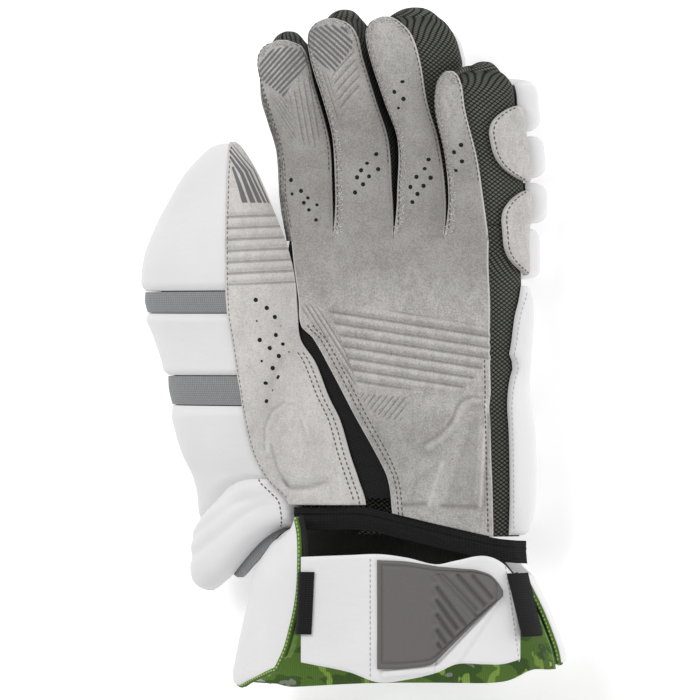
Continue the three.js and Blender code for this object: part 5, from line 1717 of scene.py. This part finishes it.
# The wrist strap: white coated leather, doubled at its sewn end, with a moulded dark rubber patch of
# slanted ridges on it. Its tail lies on the right, and both ends run through black elastic loops.
STRAP_WIDTH, STRAP_X, STRAP_Y, STRAP_SPAN, STRAP_THICK, RUBBER_THICK = 55, -44, -127, 105, 2.4, 2.2
STRAP_PARTS = (0, 0.6324, 0.6332, 1)
LOOP_REACH = 10
strap_shape = table(("along", "top", "bottom", "height"), [
    (0.0, 0.5, -0.42, 1.01),
    (0.23, 0.52, -0.5, 1.007),
    (0.37, 0.53, -0.585, 1.003),
    (0.5, 0.5, -0.56, 0.99),
    (0.63, 0.445, -0.5, 0.965),
    (0.73, 0.48, -0.42, 0.945),
    (0.85, 0.52, -0.42, 0.91),
    (0.93, 0.45, -0.42, 0.86),
    (1.0, 0.27, -0.38, 0.81),
])
rubber_shape = table(("along", "top", "bottom"), [
    (0.37, 0.48, -0.47),
    (0.5, 0.47, -0.46),
    (0.61, 0.44, -0.43),
    (0.64, 0.43, -0.395),
    (0.7, 0.42, -0.28),
    (0.76, 0.41, -0.165),
    (0.82, 0.4, -0.05),
    (0.88, 0.36, 0.065),
    (0.91, 0.3, 0.12),
    (0.935, 0.22, 0.17),
])


def strap_grids(from_share, to_share, edges, low, high, rows, columns, relief):
    """A flat piece on the strap's line, between two shares of its span and its two edges."""
    u, v = net(columns, rows)
    along = mix(from_share, to_share, u)
    edge = edges(along)
    y = STRAP_Y + mix(edge.top, edge.bottom, v) * STRAP_WIDTH
    z = strap_shape(along).height * CUFF_HEIGHT
    from_end = np.minimum(u, 1 - u) * (to_share - from_share) * STRAP_SPAN
    rim = np.minimum(from_end, np.minimum(v, 1 - v) * STRAP_WIDTH)
    top = stack(STRAP_X + along * STRAP_SPAN, y, z + high - 0.6 * bell(rim, 0.7))
    top[..., 2] += relief(*pixel_of(top), u, v)
    return top, stack(STRAP_X + along * STRAP_SPAN, y, z + low)


DOUBLED_END = [(250, 540), (377, 540), (378, 560), (380, 690), (250, 690)]
WELT = [(492, 600), (502, 592), (459, 658), (451, 667), (381, 675), (381, 667), (410, 663), (437, 660)]


def leather_relief(px, py, u, v):
    """Soft waves of the strap's leather and the step of its doubled, sewn end."""
    doubled = 0.9 * smooth(inside(px, py, DOUBLED_END), -0.3, 0.5)
    doubled += 1.1 * smooth(inside(px, py, WELT), -0.3, 1.0)
    return 0.3 * swirl(px, py, 60, 190) * np.sqrt(np.clip(crown(u, v, 8, 8), 0, 1)) + doubled


strap_left = strap_grids(*STRAP_PARTS[:2], strap_shape, 0, STRAP_THICK, 70, 84, leather_relief)
cover("strap_band_leather", strap_left, white, ["strap_band"])
strap_right = strap_grids(*STRAP_PARTS[2:], strap_shape, 0, STRAP_THICK, 70, 56, leather_relief)
cover("strap_tail_leather", strap_right, white, ["strap_tail"])
STRAP_SEAM = [(370, 555 + 4 * k) for k in range(30)]
TAIL_SEAM = [(503 + 0.13 * k * 4, 562 + 3.6 * k) for k in range(27)]
bead_piece("strap_stitching", [
    stitch_run(*on_grids([strap_left[0]], STRAP_SEAM)),
    stitch_run(*on_grids([strap_right[0]], TAIL_SEAM)),
], pale_thread_look)
rubber_look = Look("moulded_rubber", roughness=0.6, specular_ior_level=0.4)
rubber_grain = rubber_look.noise(1800, 3)
rubber_look.wear(
    base_color=rubber_look.blend(rubber_grain, tone(96, 93, 91), tone(112, 109, 107)),
    normal=rubber_look.relief(rubber_grain, 0.00012, 0.4))
RUBBER_RIDGES = [
    [(436, 571), (474, 612)], [(436, 585), (464, 622)], [(436, 598), (455, 624)], [(436, 612), (451, 633)],
    [(436, 627), (444, 639)], [(437, 640), (441, 648)], [(441, 571), (474, 606)], [(456, 572), (482, 601)],
    [(471, 573), (489, 594)],
]
RUBBER_GROOVE = 2.4


def rubber_relief(px, py, u, v):
    """The patch's sunk seam line round its edge and its slanted raised ridges."""
    top, bottom = v * STRAP_WIDTH * 0.9, (1 - v) * STRAP_WIDTH * 0.9
    rim = np.minimum(np.minimum(u, 1 - u) * 60, np.minimum(top, bottom))
    height = -0.7 * bell(rim - RUBBER_GROOVE, 0.6)
    for line in RUBBER_RIDGES:
        distance, _ = near_line(px, py, line)
        height += (-1.1 * bell(distance, 0.7) + 0.5 * bell(distance - 1.9, 1.0)) * smooth(rim, 3, 4)
    return height


patch_level = STRAP_THICK + SEAM
rubber = strap_grids(
    0.37, 0.935, rubber_shape, patch_level, patch_level + RUBBER_THICK, 110, 130, rubber_relief)
cover("strap_patch_rubber", rubber, rubber_look.material, ["strap_patch"])

LOOP_THICK, LOOP_LENGTH, LOOP_UP = 1.8, 30, 0.68
LOOPS = {
    "strap_loop_left": (STRAP_X, -0.05, table(("place", "across", "height"), [
        (0.0, -0.35, 1.0), (0.3, -0.05, 1.072), (1.0, 0.6, 1.076)])),
    "strap_loop_right": (STRAP_X + STRAP_SPAN, 0.25, table(("place", "across", "height"), [
        (0.0, -0.35, 0.95), (0.4, 0.2, 0.91), (0.75, 0.6, 0.78), (1.0, 0.75, 0.565)])),
}
LOOP_SPANS = {"strap_loop_left": (0, 1), "strap_loop_right": (0.36, 0.85)}
for name, (end, slant, path) in LOOPS.items():
    u, v = net(30, 40, LOOP_SPANS[name])
    s = path(u)
    y = STRAP_Y + LOOP_LENGTH * (LOOP_UP - v)
    top = stack(end + s.across * LOOP_REACH + slant * (STRAP_Y - y), y, s.height * CUFF_HEIGHT)
    low = top - grid_normals(top) * LOOP_THICK
    woven(name + "_elastic", (top, low), elastic_look.material, [name])
